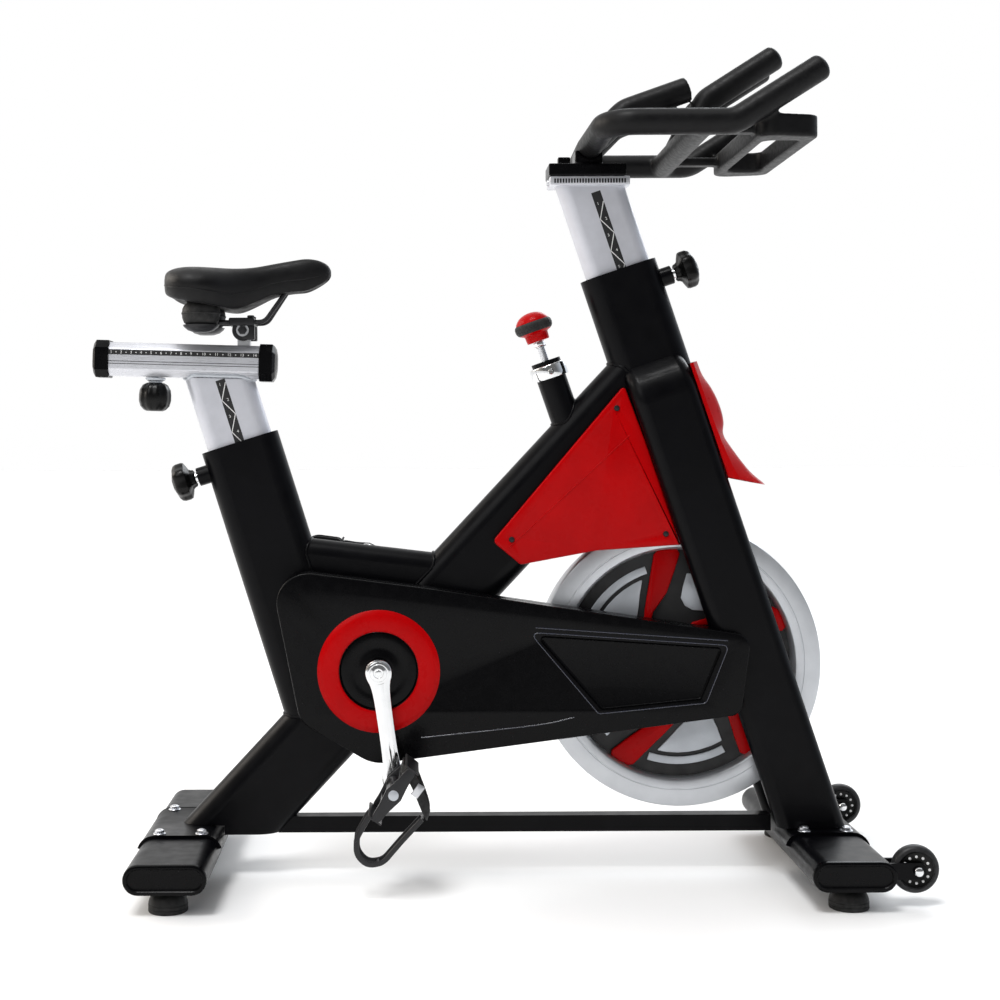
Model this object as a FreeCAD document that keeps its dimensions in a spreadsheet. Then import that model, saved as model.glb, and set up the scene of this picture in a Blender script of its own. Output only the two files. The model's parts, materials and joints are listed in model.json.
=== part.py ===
"""Indoor spin bike as a parametric FreeCAD document: one labelled object per physical piece.

Millimetres. +X is forward, +Y is the rider's left and +Z is up. The origin is on the floor under the
middle of the bike. Every tube lies in the plane Y = 0, so most places are given by X and Z alone.
"""
import FreeCAD, Part
import math
import os
import Sketcher
from FreeCAD import Placement, Rotation, Vector

os.makedirs("parts", exist_ok=True)
doc = FreeCAD.newDocument("SpinBike")

# ---------------------------------------------------------------- driving dimensions
SIZES = {
    # frame tubes: flat-oval sections, width in the plane of the bike and thickness across it
    "frame_wall": 3, "beam_width": 126, "beam_thick": 60, "beam_tilt": 43.1, "beam_below_crank": 4.7,
    "seat_tube_width": 128, "seat_tube_thick": 58, "seat_lean": 17.4,
    "seat_rim_back": -410, "seat_rim_up": 694,
    "top_tube_width": 100, "top_tube_thick": 50, "top_tube_back": -347, "top_tube_up": 494,
    "top_tube_drop": 6.9, "top_tube_length": 296,
    "head_tube_width": 127, "head_tube_thick": 62, "head_lean": 18.4, "head_tube_length": 330,
    "head_rim_fore": 202.5, "head_rim_up": 968.5,
    "leg_width": 104, "leg_thick": 38, "crown_below_rim": 219,
    "rail_thick": 26, "rail_up": 78,
    # crank set and drive
    "crank_back": -185.5, "crank_up": 335, "crank_length": 170, "crank_angle": 7.9,
    "crank_width": 40, "crank_thick": 16, "crank_out": 94, "crank_end_inset": 4,
    "shell_outer": 50, "shell_half": 36, "bearing_outer": 42, "bearing_bore": 20, "bearing_width": 12,
    "axle_clear": 0.03, "big_pulley": 104, "small_pulley": 32, "belt_out": 52, "belt_width": 14,
    "belt_thick": 4, "belt_gap": 0.4,
    # flywheel
    "flywheel_fore": 294, "flywheel_up": 335.5, "flywheel_radius": 228, "flywheel_thick": 50,
    "rim_inner": 186, "web_thick": 18, "hub_radius": 38, "hub_thick": 52,
    # stabilisers, feet and wheels
    "stabiliser_width": 124, "stabiliser_thick": 45, "stabiliser_half": 250, "stabiliser_up": 54.5,
    "rear_stabiliser": -497, "front_stabiliser": 513, "end_cap": 8, "plate_thick": 4, "plate_half": 95,
    "foot_radius": 29.5, "foot_tall": 30, "foot_out": 212, "foot_travel": 15,
    "wheel_radius": 36, "wheel_width": 24, "wheel_fore": 613, "wheel_up": 55.5, "wheel_out": 205,
    # brake
    "brake_lean": 18.9, "collar_fore": 88.5, "collar_up": 812, "brake_tube": 48, "brake_rod": 12,
    "brake_travel": 6, "pad_gap": 7, "knob_radius": 31,
    # guard and covers
    "guard_inner": 33, "guard_split": 62, "guard_outer": 88, "guard_wall": 3,
    "ring_outer": 96, "ring_inner": 62, "cover_in": 31.3, "cover_out": 46.5, "cover_wall": 2.5,
    "cover_gap": 1, "guard_gap": 1.5, "shield_half": 60, "shield_wall": 3.5,
    # posts, which are one flat-oval extrusion
    "post_width": 107, "post_thick": 42, "post_clear": 0.3, "seat_post_up": 120, "seat_post_in": 200,
    "bar_post_up": 142, "bar_post_in": 210, "sleeve_long": 90,
    # seat
    "slide_back": -497, "slide_up": 825, "slide_drop": 1.8, "slide_size": 54, "slide_long": 242,
    "slide_wall": 4, "slide_cap": 28, "slide_cap_tall": 60, "lock_knob_back": -545,
    "carriage_back": -402, "carriage_travel": 160,
    "barrel_radius": 10, "barrel_up": 873,
    "saddle_back": -526, "saddle_nose": -261, "saddle_base": 912, "saddle_half": 88,
    # handlebar
    "bar_radius": 20, "bar_half": 200, "bar_up": 1166, "bar_rear": 156, "bar_mid": 306,
    "bar_front": 436, "rail_long": 128, "rail_up_top": 1117,
}

sheet = doc.addObject("Spreadsheet::Sheet", "Sizes")
for row, (word, number) in enumerate(SIZES.items(), start=1):
    sheet.set("A%d" % row, word)
    sheet.set("B%d" % row, str(number))
    sheet.setAlias("B%d" % row, word)
doc.recompute()


class Size:
    """A number together with the spreadsheet expression that gives it."""

    def __init__(self, value, text):
        self.value = float(value)
        self.text = text

    def __float__(self):
        return self.value

    def __neg__(self):
        return Size(-self.value, "(-1 * %s)" % self.text)

    def __add__(self, other):
        return Size(self.value + float(other), "(%s + %s)" % (self.text, text_of(other)))

    def __radd__(self, other):
        return self + other

    def __sub__(self, other):
        return Size(self.value - float(other), "(%s - %s)" % (self.text, text_of(other)))

    def __mul__(self, other):
        return Size(self.value * float(other), "(%s * %s)" % (self.text, text_of(other)))

    def __truediv__(self, other):
        return Size(self.value / float(other), "(%s / %s)" % (self.text, text_of(other)))


def text_of(number):
    """The expression of a Size, or a plain number as text."""
    return number.text if isinstance(number, Size) else "%.9g" % float(number)


S = {word: Size(sheet.get(word), "Sizes." + word) for word in SIZES}
N = {word: size.value for word, size in S.items()}


def bind(thing, prop, size):
    """Sets a property, by expression where the size comes from the sheet."""
    setattr(thing, prop, float(size))
    if isinstance(size, Size):
        thing.setExpression(prop, size.text)


# ---------------------------------------------------------------- places and directions
def at(x, z, y=0.0):
    return Vector(float(x), float(y), float(z))


def upward(lean):
    """Unit vector along a tube that leans back by so many degrees."""
    return Vector(-math.sin(math.radians(lean)), 0, math.cos(math.radians(lean)))


def along(point, lean):
    """Placement whose Z runs up a tube that leans back, X forward across it and Y across the bike."""
    return Placement(point, Rotation(Vector(0, 1, 0), -lean))


def across(x, z, y=0.0):
    """Placement whose Z points to the rider's left."""
    return Placement(at(x, z, y), Rotation(Vector(1, 0, 0), -90))


def side_view(y=0.0):
    """Placement that turns a sketch's X and Y into the bike's X and Z, with its Z to the rider's right."""
    return Placement(Vector(0, y, 0), Rotation(Vector(1, 0, 0), 90))


SEAT_UP = upward(N["seat_lean"])
HEAD_UP = upward(N["head_lean"])
BRAKE_UP = upward(N["brake_lean"])
BEAM_UP = upward(-N["beam_tilt"])
CRANK = at(N["crank_back"], N["crank_up"])
AXLE = at(N["flywheel_fore"], N["flywheel_up"])
SEAT_RIM = at(N["seat_rim_back"], N["seat_rim_up"])
HEAD_RIM = at(N["head_rim_fore"], N["head_rim_up"])
COLLAR = at(N["collar_fore"], N["collar_up"])
BEAM_MIDDLE = CRANK + Vector(BEAM_UP.z, 0, -BEAM_UP.x) * N["beam_below_crank"]
BEAM_LOW, BEAM_HIGH = 440, 644
SEAT_TUBE_LONG = 476
LEG_ROOM_LOW, LEG_ROOM_LONG = 960, 850
PIN_BELOW_RIM = 34
TRIM_LOW = 100
BEAM_END_UP, LEG_END_UP = 66, 81


# ---------------------------------------------------------------- ways to make a solid
def body(label, place):
    """A new body, its XY plane and its placement."""
    made = doc.addObject("PartDesign::Body", label)
    made.Placement = place
    return made


def plane_of(made, role):
    return next(f for f in made.Origin.OriginFeatures if f.Role == role)


def sketch_on(made, role, name):
    sketch = made.newObject("Sketcher::SketchObject", name)
    sketch.AttachmentSupport = (plane_of(made, role), "")
    sketch.MapMode = "FlatFace"
    return sketch


def add_slot(sketch, half_straight, radius):
    """A flat-oval outline about the origin, long in X, driven by its straight half length and its radius."""
    c = float(half_straight)
    r = float(radius)
    z = Vector(0, 0, 1)
    first = sketch.GeometryCount
    for centre, turn in ((c, -90), (-c, 90)):
        circle = Part.Circle(Vector(centre, 0, 0), z, r)
        start = math.radians(turn)
        sketch.addGeometry(Part.ArcOfCircle(circle, start, start + math.pi), False)
    sketch.addGeometry(Part.LineSegment(Vector(c, r, 0), Vector(-c, r, 0)), False)
    sketch.addGeometry(Part.LineSegment(Vector(-c, -r, 0), Vector(c, -r, 0)), False)
    right, left, top, low = first, first + 1, first + 2, first + 3
    joins = ((right, 2, top, 1), (top, 2, left, 1), (left, 2, low, 1), (low, 2, right, 1))
    for one, end, other, start in joins:
        sketch.addConstraint(Sketcher.Constraint("Tangent", one, end, other, start))
    sketch.addConstraint(Sketcher.Constraint("PointOnObject", right, 3, -1))
    sketch.addConstraint(Sketcher.Constraint("PointOnObject", left, 3, -1))
    sketch.addConstraint(Sketcher.Constraint("Equal", right, left))
    driven = (("DistanceX", -1, 1, right, 3, c), ("DistanceX", left, 3, -1, 1, c), ("Radius", right, r))
    for rule, size in zip(driven, (half_straight, half_straight, radius)):
        index = sketch.addConstraint(Sketcher.Constraint(*rule))
        if isinstance(size, Size):
            sketch.setExpression("Constraints[%d]" % index, size.text)


def add_polygon(sketch, points):
    """A closed polygon whose corners are held at their distances from the sketch's axes."""
    corners = [Vector(float(x), float(y), 0) for x, y in points]
    first = sketch.GeometryCount
    count = len(corners)
    for i, corner in enumerate(corners):
        sketch.addGeometry(Part.LineSegment(corner, corners[(i + 1) % count]), False)
    for i in range(count):
        after = first + (i + 1) % count
        sketch.addConstraint(Sketcher.Constraint("Coincident", first + i, 2, after, 1))
    for i, (x, y) in enumerate(points):
        for rule, size in (("DistanceX", x), ("DistanceY", y)):
            if abs(float(size)) < 1e-9:
                axis = -2 if rule == "DistanceX" else -1
                sketch.addConstraint(Sketcher.Constraint("PointOnObject", first + i, 1, axis))
                continue
            index = sketch.addConstraint(Sketcher.Constraint(rule, -1, 1, first + i, 1, float(size)))
            if isinstance(size, Size):
                sketch.setExpression("Constraints[%d]" % index, size.text)


def pad_of(made, sketch, length):
    pad = made.newObject("PartDesign::Pad", made.Name + "_pad")
    pad.Profile = sketch
    bind(pad, "Length", length)
    sketch.Visibility = False
    return pad


def flat_oval(label, width, thick, length, place, wall=None, centred=False):
    """A flat-oval bar or tube that runs along its own Z."""
    made = body(label, place)
    sketch = sketch_on(made, "XY_Plane", label + "_section")
    add_slot(sketch, (width - thick) / 2, thick / 2)
    if wall is not None:
        add_slot(sketch, (width - thick) / 2, thick / 2 - wall)
    pad = pad_of(made, sketch, length)
    pad.Midplane = centred
    return made


def plate(label, points, thick, place, centred=False):
    """A flat plate of polygon outline, as thick as said along its own Z."""
    made = body(label, place)
    sketch = sketch_on(made, "XY_Plane", label + "_outline")
    add_polygon(sketch, points)
    pad = pad_of(made, sketch, thick)
    pad.Midplane = centred
    return made


def turned(label, points, place):
    """A turned piece: points are radius and height, and it is turned about its own Z."""
    made = body(label, place)
    sketch = sketch_on(made, "XZ_Plane", label + "_profile")
    add_polygon(sketch, points)
    turn = made.newObject("PartDesign::Revolution", label + "_turn")
    turn.Profile = sketch
    turn.ReferenceAxis = (sketch, ["V_Axis"])
    turn.Angle = 360
    return made


def rod(label, radius, length, place):
    """A plain round bar along its own Z."""
    made = doc.addObject("Part::Cylinder", label)
    bind(made, "Radius", radius)
    bind(made, "Height", length)
    made.Placement = place
    return made


def block(label, sizes, place):
    """A box with its corner at its own origin."""
    made = doc.addObject("Part::Box", label)
    for prop, size in zip(("Length", "Width", "Height"), sizes):
        bind(made, prop, size)
    made.Placement = place
    return made


def cut(label, base, tools):
    """The base without the tools."""
    for number, tool in enumerate(tools, start=1):
        name = label if number == len(tools) else "%s_cut_%d" % (label, number)
        made = doc.addObject("Part::Cut", name)
        made.Base = base
        made.Tool = tool
        base = made
    return base


def fuse(label, pieces):
    made = doc.addObject("Part::MultiFuse", label)
    made.Shapes = pieces
    return made


def group(label, pieces):
    """Separate solids that share one file, such as bolts of one kind."""
    made = doc.addObject("Part::Compound", label)
    made.Links = pieces
    return made


def shaped(label, shape):
    """A piece whose shape comes from Part's own functions."""
    made = doc.addObject("Part::Feature", label)
    made.Shape = shape
    return made


nodes = []


def node(made):
    """Marks an object as a finished piece, which gets a file of its own."""
    nodes.append(made)
    return made


# ---------------------------------------------------------------- frame
def frame_tubes():
    """The welded tubes. Each is trimmed by the thicker tube that it meets."""
    low = at(-1000, -TRIM_LOW, -500)
    ground = block("ground_trim", (2000, 1000, TRIM_LOW + BEAM_END_UP), Placement(low, Rotation()))
    beam_outside = flat_oval("beam_outside", S["beam_width"], S["beam_thick"], BEAM_LOW + BEAM_HIGH,
                             along(BEAM_MIDDLE - BEAM_UP * BEAM_LOW, -N["beam_tilt"]))
    head_down = HEAD_RIM - HEAD_UP * N["head_tube_length"]
    head_outside = flat_oval("head_outside", S["head_tube_width"], S["head_tube_thick"],
                             S["head_tube_length"], along(head_down, N["head_lean"]))
    seat_outside = flat_oval("seat_outside", S["seat_tube_width"], S["seat_tube_thick"], SEAT_TUBE_LONG,
                             along(SEAT_RIM - SEAT_UP * SEAT_TUBE_LONG, N["seat_lean"]))
    brake_bore = rod("brake_bore", S["brake_rod"] / 2 + 1, 400,
                     along(COLLAR - BRAKE_UP * 400, N["brake_lean"]))
    shell_bore = rod("shell_bore", S["shell_outer"] / 2, S["shell_half"] * 2,
                     across(CRANK.x, CRANK.z, -N["shell_half"]))
    stabiliser_room = block("stabiliser_room", (S["stabiliser_width"] + 2, 300, 100),
                            Placement(at(N["rear_stabiliser"] - N["stabiliser_width"] / 2 - 1,
                                         LEG_END_UP - TRIM_LOW, -150), Rotation()))

    beam = flat_oval("beam_stock", S["beam_width"], S["beam_thick"], BEAM_LOW + BEAM_HIGH,
                     along(BEAM_MIDDLE - BEAM_UP * BEAM_LOW, -N["beam_tilt"]), wall=S["frame_wall"])
    node(cut("main_beam", beam, [ground, stabiliser_room, head_outside, shell_bore, brake_bore]))

    head = flat_oval("head_stock", S["head_tube_width"], S["head_tube_thick"], S["head_tube_length"],
                     along(head_down, N["head_lean"]), wall=S["frame_wall"])
    pin_point = HEAD_RIM - HEAD_UP * PIN_BELOW_RIM
    pin_bore = rod("front_pin_bore", 7, 60, pin_place(pin_point, N["head_lean"], 1, 40))
    front_boss = rod("front_boss_stock", 15, 20, pin_place(pin_point, N["head_lean"], 1, 60.5))
    node(cut("head_tube", fuse("head_with_boss", [head, front_boss]), [pin_bore]))

    seat = flat_oval("seat_stock", S["seat_tube_width"], S["seat_tube_thick"], SEAT_TUBE_LONG,
                     along(SEAT_RIM - SEAT_UP * SEAT_TUBE_LONG, N["seat_lean"]), wall=S["frame_wall"])
    pin_point = SEAT_RIM - SEAT_UP * PIN_BELOW_RIM
    pin_bore = rod("rear_pin_bore", 7, 60, pin_place(pin_point, N["seat_lean"], -1, 40))
    rear_boss = rod("rear_boss_stock", 15, 20, pin_place(pin_point, N["seat_lean"], -1, 61))
    node(cut("seat_tube", fuse("seat_with_boss", [seat, rear_boss]), [beam_outside, pin_bore]))

    top_lean = -(90 + N["top_tube_drop"])
    top = flat_oval("top_stock", S["top_tube_width"], S["top_tube_thick"], S["top_tube_length"],
                    along(at(N["top_tube_back"], N["top_tube_up"]), top_lean), wall=S["frame_wall"])
    node(cut("top_tube", top, [beam_outside, seat_outside]))

    floor_of_legs = block("leg_trim", (2000, 1000, TRIM_LOW + LEG_END_UP), Placement(low, Rotation()))
    crown_middle = HEAD_RIM - HEAD_UP * N["crown_below_rim"]
    leg_long = 800
    leg_y = (N["head_tube_thick"] + N["leg_thick"]) / 2
    for side, y in (("left", leg_y), ("right", -leg_y)):
        start = crown_middle - HEAD_UP * leg_long + Vector(0, y, 0)
        leg = flat_oval("leg_stock_" + side, S["leg_width"], S["leg_thick"], leg_long,
                        along(start, N["head_lean"]), wall=S["frame_wall"])
        node(cut("fork_leg_" + side, leg, [floor_of_legs]))
    node(cut("fork_crown", crown_bend(crown_middle, leg_y), [head_outside, beam_outside]))

    shell = rod("shell_stock", S["shell_outer"] / 2, S["shell_half"] * 2,
                across(CRANK.x, CRANK.z, -N["shell_half"]))
    shell_hole = rod("shell_hole", S["bearing_outer"] / 2, S["shell_half"] * 2,
                     across(CRANK.x, CRANK.z, -N["shell_half"]))
    node(cut("bottom_bracket_shell", shell, [shell_hole]))

    tube = rod("brake_tube_stock", S["brake_tube"] / 2, 145,
               along(COLLAR - BRAKE_UP * 134, N["brake_lean"]))
    tube_hole = rod("brake_tube_hole", S["brake_tube"] / 2 - S["frame_wall"], 145,
                    along(COLLAR - BRAKE_UP * 134, N["brake_lean"]))
    node(cut("brake_tube", tube, [tube_hole, beam_outside]))

    rail = block("rail_stock", (900, S["rail_thick"], S["rail_thick"]),
                 Placement(at(-457, N["rail_up"] - N["rail_thick"] / 2, -N["rail_thick"] / 2), Rotation()))
    node(cut("bottom_rail", rail, [beam_outside]))


def pin_place(point, lean, forward, distance):
    """Placement whose Z points out of a tube square to its axis, this far from the tube's middle."""
    place = along(point, lean)
    turned_out = Rotation(Vector(0, 1, 0), forward * 90)
    return place.multiply(Placement(Vector(forward * distance, 0, 0), turned_out))


def crown_bend(middle, leg_y):
    """The two bent shoulders that join the fork legs to the head tube, as one half turn of the section."""
    made = body("crown_stock", along(middle, N["head_lean"]))
    sketch = sketch_on(made, "XY_Plane", "crown_section")
    half = N["leg_thick"] / 2
    straight = N["leg_width"] / 2 - half
    for centre, turn in ((straight, -90), (-straight, 90)):
        circle = Part.Circle(Vector(centre, leg_y, 0), Vector(0, 0, 1), half)
        start = math.radians(turn)
        sketch.addGeometry(Part.ArcOfCircle(circle, start, start + math.pi), False)
    for y, sign in ((leg_y + half, 1), (leg_y - half, -1)):
        ends = (Vector(sign * straight, y, 0), Vector(-sign * straight, y, 0))
        sketch.addGeometry(Part.LineSegment(*ends), False)
    turn = made.newObject("PartDesign::Revolution", "crown_turn")
    turn.Profile = sketch
    turn.ReferenceAxis = (sketch, ["H_Axis"])
    turn.Angle = 180
    return made


def base_pieces():
    """Stabilisers, their saddle plates, end caps and bolts."""
    width, thick = S["stabiliser_width"], S["stabiliser_thick"]
    half = N["stabiliser_half"]
    caps = []
    plates = []
    bolts = []
    for name, x in (("rear", N["rear_stabiliser"]), ("front", N["front_stabiliser"])):
        tube = flat_oval(name + "_stabiliser_stock", width, thick,
                         (S["stabiliser_half"] - S["end_cap"]) * 2,
                         across(x, N["stabiliser_up"], -half + N["end_cap"]), wall=S["frame_wall"])
        tools = []
        for y in (-N["foot_out"], N["foot_out"]):
            tools.append(rod("%s_foot_hole_%d" % (name, y), 6.2, 30, Placement(at(x, 25, y), Rotation())))
        if name == "front":
            arms = [wheel_bracket(y) for y in wheel_cheeks()] + wheel_pins()
            stabiliser = fuse("front_stabiliser_welded", [cut("front_tube_drilled", tube, tools)] + arms)
            stabiliser.Label = "front_stabiliser"
            node(stabiliser)
        else:
            node(cut("rear_stabiliser", tube, tools))
        for side, y in (("left", half - N["end_cap"]), ("right", -half)):
            caps.append(flat_oval("%s_cap_%s" % (name, side), width, thick, S["end_cap"],
                                  across(x, N["stabiliser_up"], y)))
        top = N["stabiliser_up"] + N["stabiliser_thick"] / 2
        long = N["stabiliser_width"] - 10
        sizes = (S["stabiliser_width"] - 10, S["plate_half"] * 2, S["plate_thick"])
        place = Placement(at(x - long / 2, top, -N["plate_half"]), Rotation())
        plates.append(block(name + "_saddle_plate", sizes, place))
        for fore in (-33, 33):
            for y in (-81, 81):
                place = Placement(at(x + fore, top + N["plate_thick"], y), Rotation())
                bolts.append(turned("%s_bolt_%d_%d" % (name, fore, y),
                                    [(0, 0), (10, 0), (10, 1.5), (8.5, 3), (8.5, 5), (5, 8), (0, 8)], place))
    node(group("stabiliser_end_caps", caps))
    node(group("saddle_plates", plates))
    node(group("plate_bolts", bolts))


def wheel_cheeks():
    """Middle planes of the four cheeks that carry the two transport wheels."""
    reach = N["wheel_width"] / 2 + 3
    return [side * N["wheel_out"] + step for side in (-1, 1) for step in (-reach, reach)]


def wheel_pins():
    """The two bolts that the transport wheels turn on."""
    length = N["wheel_width"] + 18
    starts = [side * N["wheel_out"] - length / 2 for side in (-1, 1)]
    return [rod("wheel_pin_%d" % number, 3.95, length, across(N["wheel_fore"], N["wheel_up"], start))
            for number, start in enumerate(starts)]


def wheel_bracket(y):
    """One cheek: a 4 mm plate from the front of the stabiliser to the wheel's bolt."""
    front = N["front_stabiliser"] + N["stabiliser_width"] / 2
    x, z = N["wheel_fore"], N["wheel_up"]
    points = [(front - 3.5, z - 12), (x + 8, z - 12), (x + 12, z - 6), (x + 12, z + 8), (x + 6, z + 12),
              (front - 3.5, z + 12)]
    return plate("wheel_cheek_%d" % y, points, 4, side_view(y + 2))


def feet():
    """Four levelling feet: a rubber cup on a stud that turns into the stabiliser."""
    names = (("rear_left", "rear_stabiliser", 1), ("rear_right", "rear_stabiliser", -1),
             ("front_left", "front_stabiliser", 1), ("front_right", "front_stabiliser", -1))
    radius, tall = S["foot_radius"], S["foot_tall"]
    for name, tube, side in names:
        place = Placement(at(N[tube], 0, side * N["foot_out"]), Rotation())
        points = [(0, 0), (radius, 0), (radius, tall * 0.45), (radius - 4, tall * 0.8), (radius - 10, tall),
                  (6, tall), (6, tall + 22), (0, tall + 22)]
        node(turned("levelling_foot_" + name, points, place))


def transport_wheels():
    radius, half = S["wheel_radius"], S["wheel_width"] / 2
    for name, side in (("left", 1), ("right", -1)):
        place = across(N["wheel_fore"], N["wheel_up"], side * N["wheel_out"])
        points = [(4, -half), (15, -half), (22, -half + 4), (26, -half + 4), (30, -half + 1),
                  (radius - 3, -half + 5), (radius, -2), (radius, 2), (radius - 3, half - 5),
                  (30, half - 1), (26, half - 4), (22, half - 4), (15, half), (4, half)]
        node(turned("transport_wheel_" + name, points, place))


# ---------------------------------------------------------------- drive
def flywheel_pieces():
    """The flywheel on its fixed axle, with the small pulley on the rider's right."""
    rim, inner = S["flywheel_radius"], S["rim_inner"]
    half, web, hub = S["flywheel_thick"] / 2, S["web_thick"] / 2, S["hub_thick"] / 2
    seat = S["bearing_outer"] / 2 + 0.05
    bore = S["bearing_bore"] / 2 + 2
    deep = hub - S["bearing_width"]
    points = [(bore, -deep), (seat, -deep), (seat, -hub), (S["hub_radius"], -hub), (S["hub_radius"], -web),
              (inner - 6, -web), (inner, -half + 2), (inner + 2, -half), (rim - 2, -half), (rim, -half + 2),
              (rim, half - 2), (rim - 2, half), (inner + 2, half), (inner, half - 2), (inner - 6, web),
              (S["hub_radius"], web), (S["hub_radius"], hub), (seat, hub), (seat, deep), (bore, deep)]
    node(turned("flywheel", points, across(AXLE.x, AXLE.z)))

    belt_y = -N["belt_out"]
    small = S["small_pulley"]
    half_belt = S["belt_width"] / 2
    # the pulley's sleeve reaches back to the flywheel's hub
    reach = N["belt_out"] - N["hub_thick"] / 2
    bore = N["bearing_bore"] / 2 + 0.5
    points = [(bore, -half_belt - 2), (small + 3, -half_belt - 2), (small + 3, -half_belt - 0.5),
              (small, -half_belt - 0.5), (small, half_belt + 0.5), (small + 3, half_belt + 0.5),
              (small + 3, half_belt + 2), (20, half_belt + 2), (20, reach), (bore, reach)]
    node(turned("flywheel_pulley", points, across(AXLE.x, AXLE.z, belt_y)))

    axle_half = 69
    node(rod("flywheel_axle", S["bearing_bore"] / 2 - S["axle_clear"], 2 * axle_half,
             across(AXLE.x, AXLE.z, -axle_half)))
    plates = []
    leg_y = (N["head_tube_thick"] + N["leg_thick"]) / 2
    for side, y in (("right", -63), ("left", 63)):
        inner_y = y if side == "right" else y + 6
        points = [(AXLE.x - 28, AXLE.z - 22), (AXLE.x + 95, AXLE.z - 25), (AXLE.x + 90, AXLE.z + 25),
                  (AXLE.x - 28, AXLE.z + 22)]
        made = plate("axle_plate_" + side, points, 6, side_view(inner_y))
        hole = rod("axle_plate_hole_" + side, S["bearing_bore"] / 2, 20, across(AXLE.x, AXLE.z, inner_y - 13))
        middle = HEAD_RIM - HEAD_UP * 800 + Vector(0, math.copysign(leg_y, y), 0)
        room = flat_oval("axle_plate_room_" + side, S["leg_width"], S["leg_thick"], 400,
                         along(middle, N["head_lean"]))
        plates.append(cut("axle_plate_trim_" + side, made, [hole, room]))
    node(group("axle_plates", plates))


def bearings():
    """Four cartridge bearings of one size: two in the bottom bracket and two in the flywheel's hub."""
    outer, bore, wide = S["bearing_outer"] / 2, S["bearing_bore"] / 2, S["bearing_width"]
    made = []
    shell = N["shell_half"] - N["bearing_width"]
    hub = N["hub_thick"] / 2 - N["bearing_width"]
    for name, point, inset in (("crank", CRANK, shell), ("flywheel", AXLE, hub)):
        for side, y in (("left", inset), ("right", -inset - N["bearing_width"])):
            made.append(turned("%s_bearing_%s" % (name, side),
                               [(bore, 0), (outer, 0), (outer, wide), (bore, wide)],
                               across(point.x, point.z, y)))
    node(group("bearings", made))


def crank_pieces():
    """Crank axle, big pulley, both arms and both pedal spindles, which turn as one."""
    out = N["crank_out"]
    thick = N["crank_thick"]
    half_axle = out + thick - N["crank_end_inset"]
    node(rod("crank_axle", S["bearing_bore"] / 2 - S["axle_clear"], 2 * half_axle,
             across(CRANK.x, CRANK.z, -half_axle)))
    big = S["big_pulley"]
    half_belt = S["belt_width"] / 2
    bore = N["bearing_bore"] / 2
    points = [(bore, -half_belt - 4), (22, -half_belt - 4), (22, -3), (big - 14, -3), (big - 14, -half_belt),
              (big, -half_belt), (big, half_belt), (big - 14, half_belt), (big - 14, 3), (22, 3),
              (22, half_belt + 4), (bore, half_belt + 4)]
    node(turned("drive_pulley", points, across(CRANK.x, CRANK.z, -N["belt_out"])))

    spindles = []
    for name, side, turn in (("right", -1, 0), ("left", 1, 180)):
        # the arm's own X points from the axle to the pedal
        angle = math.radians(-90 + N["crank_angle"] + turn)
        arm_way = Vector(math.cos(angle), 0, math.sin(angle))
        place = Placement(CRANK + Vector(0, side * out, 0), frame_of(arm_way, Vector(0, side, 0)))
        made = body("crank_arm_stock_" + name, place)
        sketch = sketch_on(made, "XY_Plane", "crank_arm_section_" + name)
        length = S["crank_length"]
        half = N["crank_width"] / 2
        ends = ((0, 90, half + 1), (N["crank_length"], -90, half - 1))
        for x, start, radius in ends:
            circle = Part.Circle(Vector(x, 0, 0), Vector(0, 0, 1), radius)
            arc = Part.ArcOfCircle(circle, math.radians(start), math.radians(start + 180))
            sketch.addGeometry(arc, False)
        for sign in (1, -1):
            wide = Vector(0, sign * (half + 1), 0)
            narrow = Vector(N["crank_length"], sign * (half - 1), 0)
            sketch.addGeometry(Part.LineSegment(wide, narrow), False)
        for one, end, other, start in ((2, 1, 0, 1), (3, 1, 0, 2), (2, 2, 1, 2), (3, 2, 1, 1)):
            sketch.addConstraint(Sketcher.Constraint("Coincident", one, end, other, start))
        pad = pad_of(made, sketch, S["crank_thick"])
        fillet = made.newObject("PartDesign::Fillet", "crank_arm_round_" + name)
        doc.recompute()
        face = next("Face%d" % (i + 1) for i, f in enumerate(pad.Shape.Faces)
                    if f.CenterOfMass.z > thick - 0.01 and abs(f.normalAt(0, 0).z) > 0.9)
        fillet.Base = (pad, [face])
        fillet.Radius = 4
        bore = rod("crank_bore_" + name, S["bearing_bore"] / 2 - S["axle_clear"], 4 * out,
                   across(CRANK.x, CRANK.z, -2 * out))
        pedal = CRANK + arm_way * float(length)
        hole = rod("spindle_bore_" + name, 7, 60, across(pedal.x, pedal.z, side * (out + thick / 2) - 30))
        node(cut("crank_arm_" + name, made, [bore, hole]))
        start = out + 1 if side > 0 else out + thick + 90
        place = across(pedal.x, pedal.z, side * start)
        spindles.append(rod("pedal_spindle_" + name, 7, N["crank_thick"] - 1 + 90, place))
    node(group("pedal_spindles", spindles))


def frame_of(x_way, z_way):
    """Rotation that takes X to one unit vector and Z to another that is square to it."""
    y_way = z_way.cross(x_way)
    return Rotation(x_way, y_way, z_way, "ZXY")


def pedal_point(side):
    turn = 0 if side < 0 else 180
    angle = math.radians(-90 + N["crank_angle"] + turn)
    return CRANK + Vector(math.cos(angle), 0, math.sin(angle)) * N["crank_length"]


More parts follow.
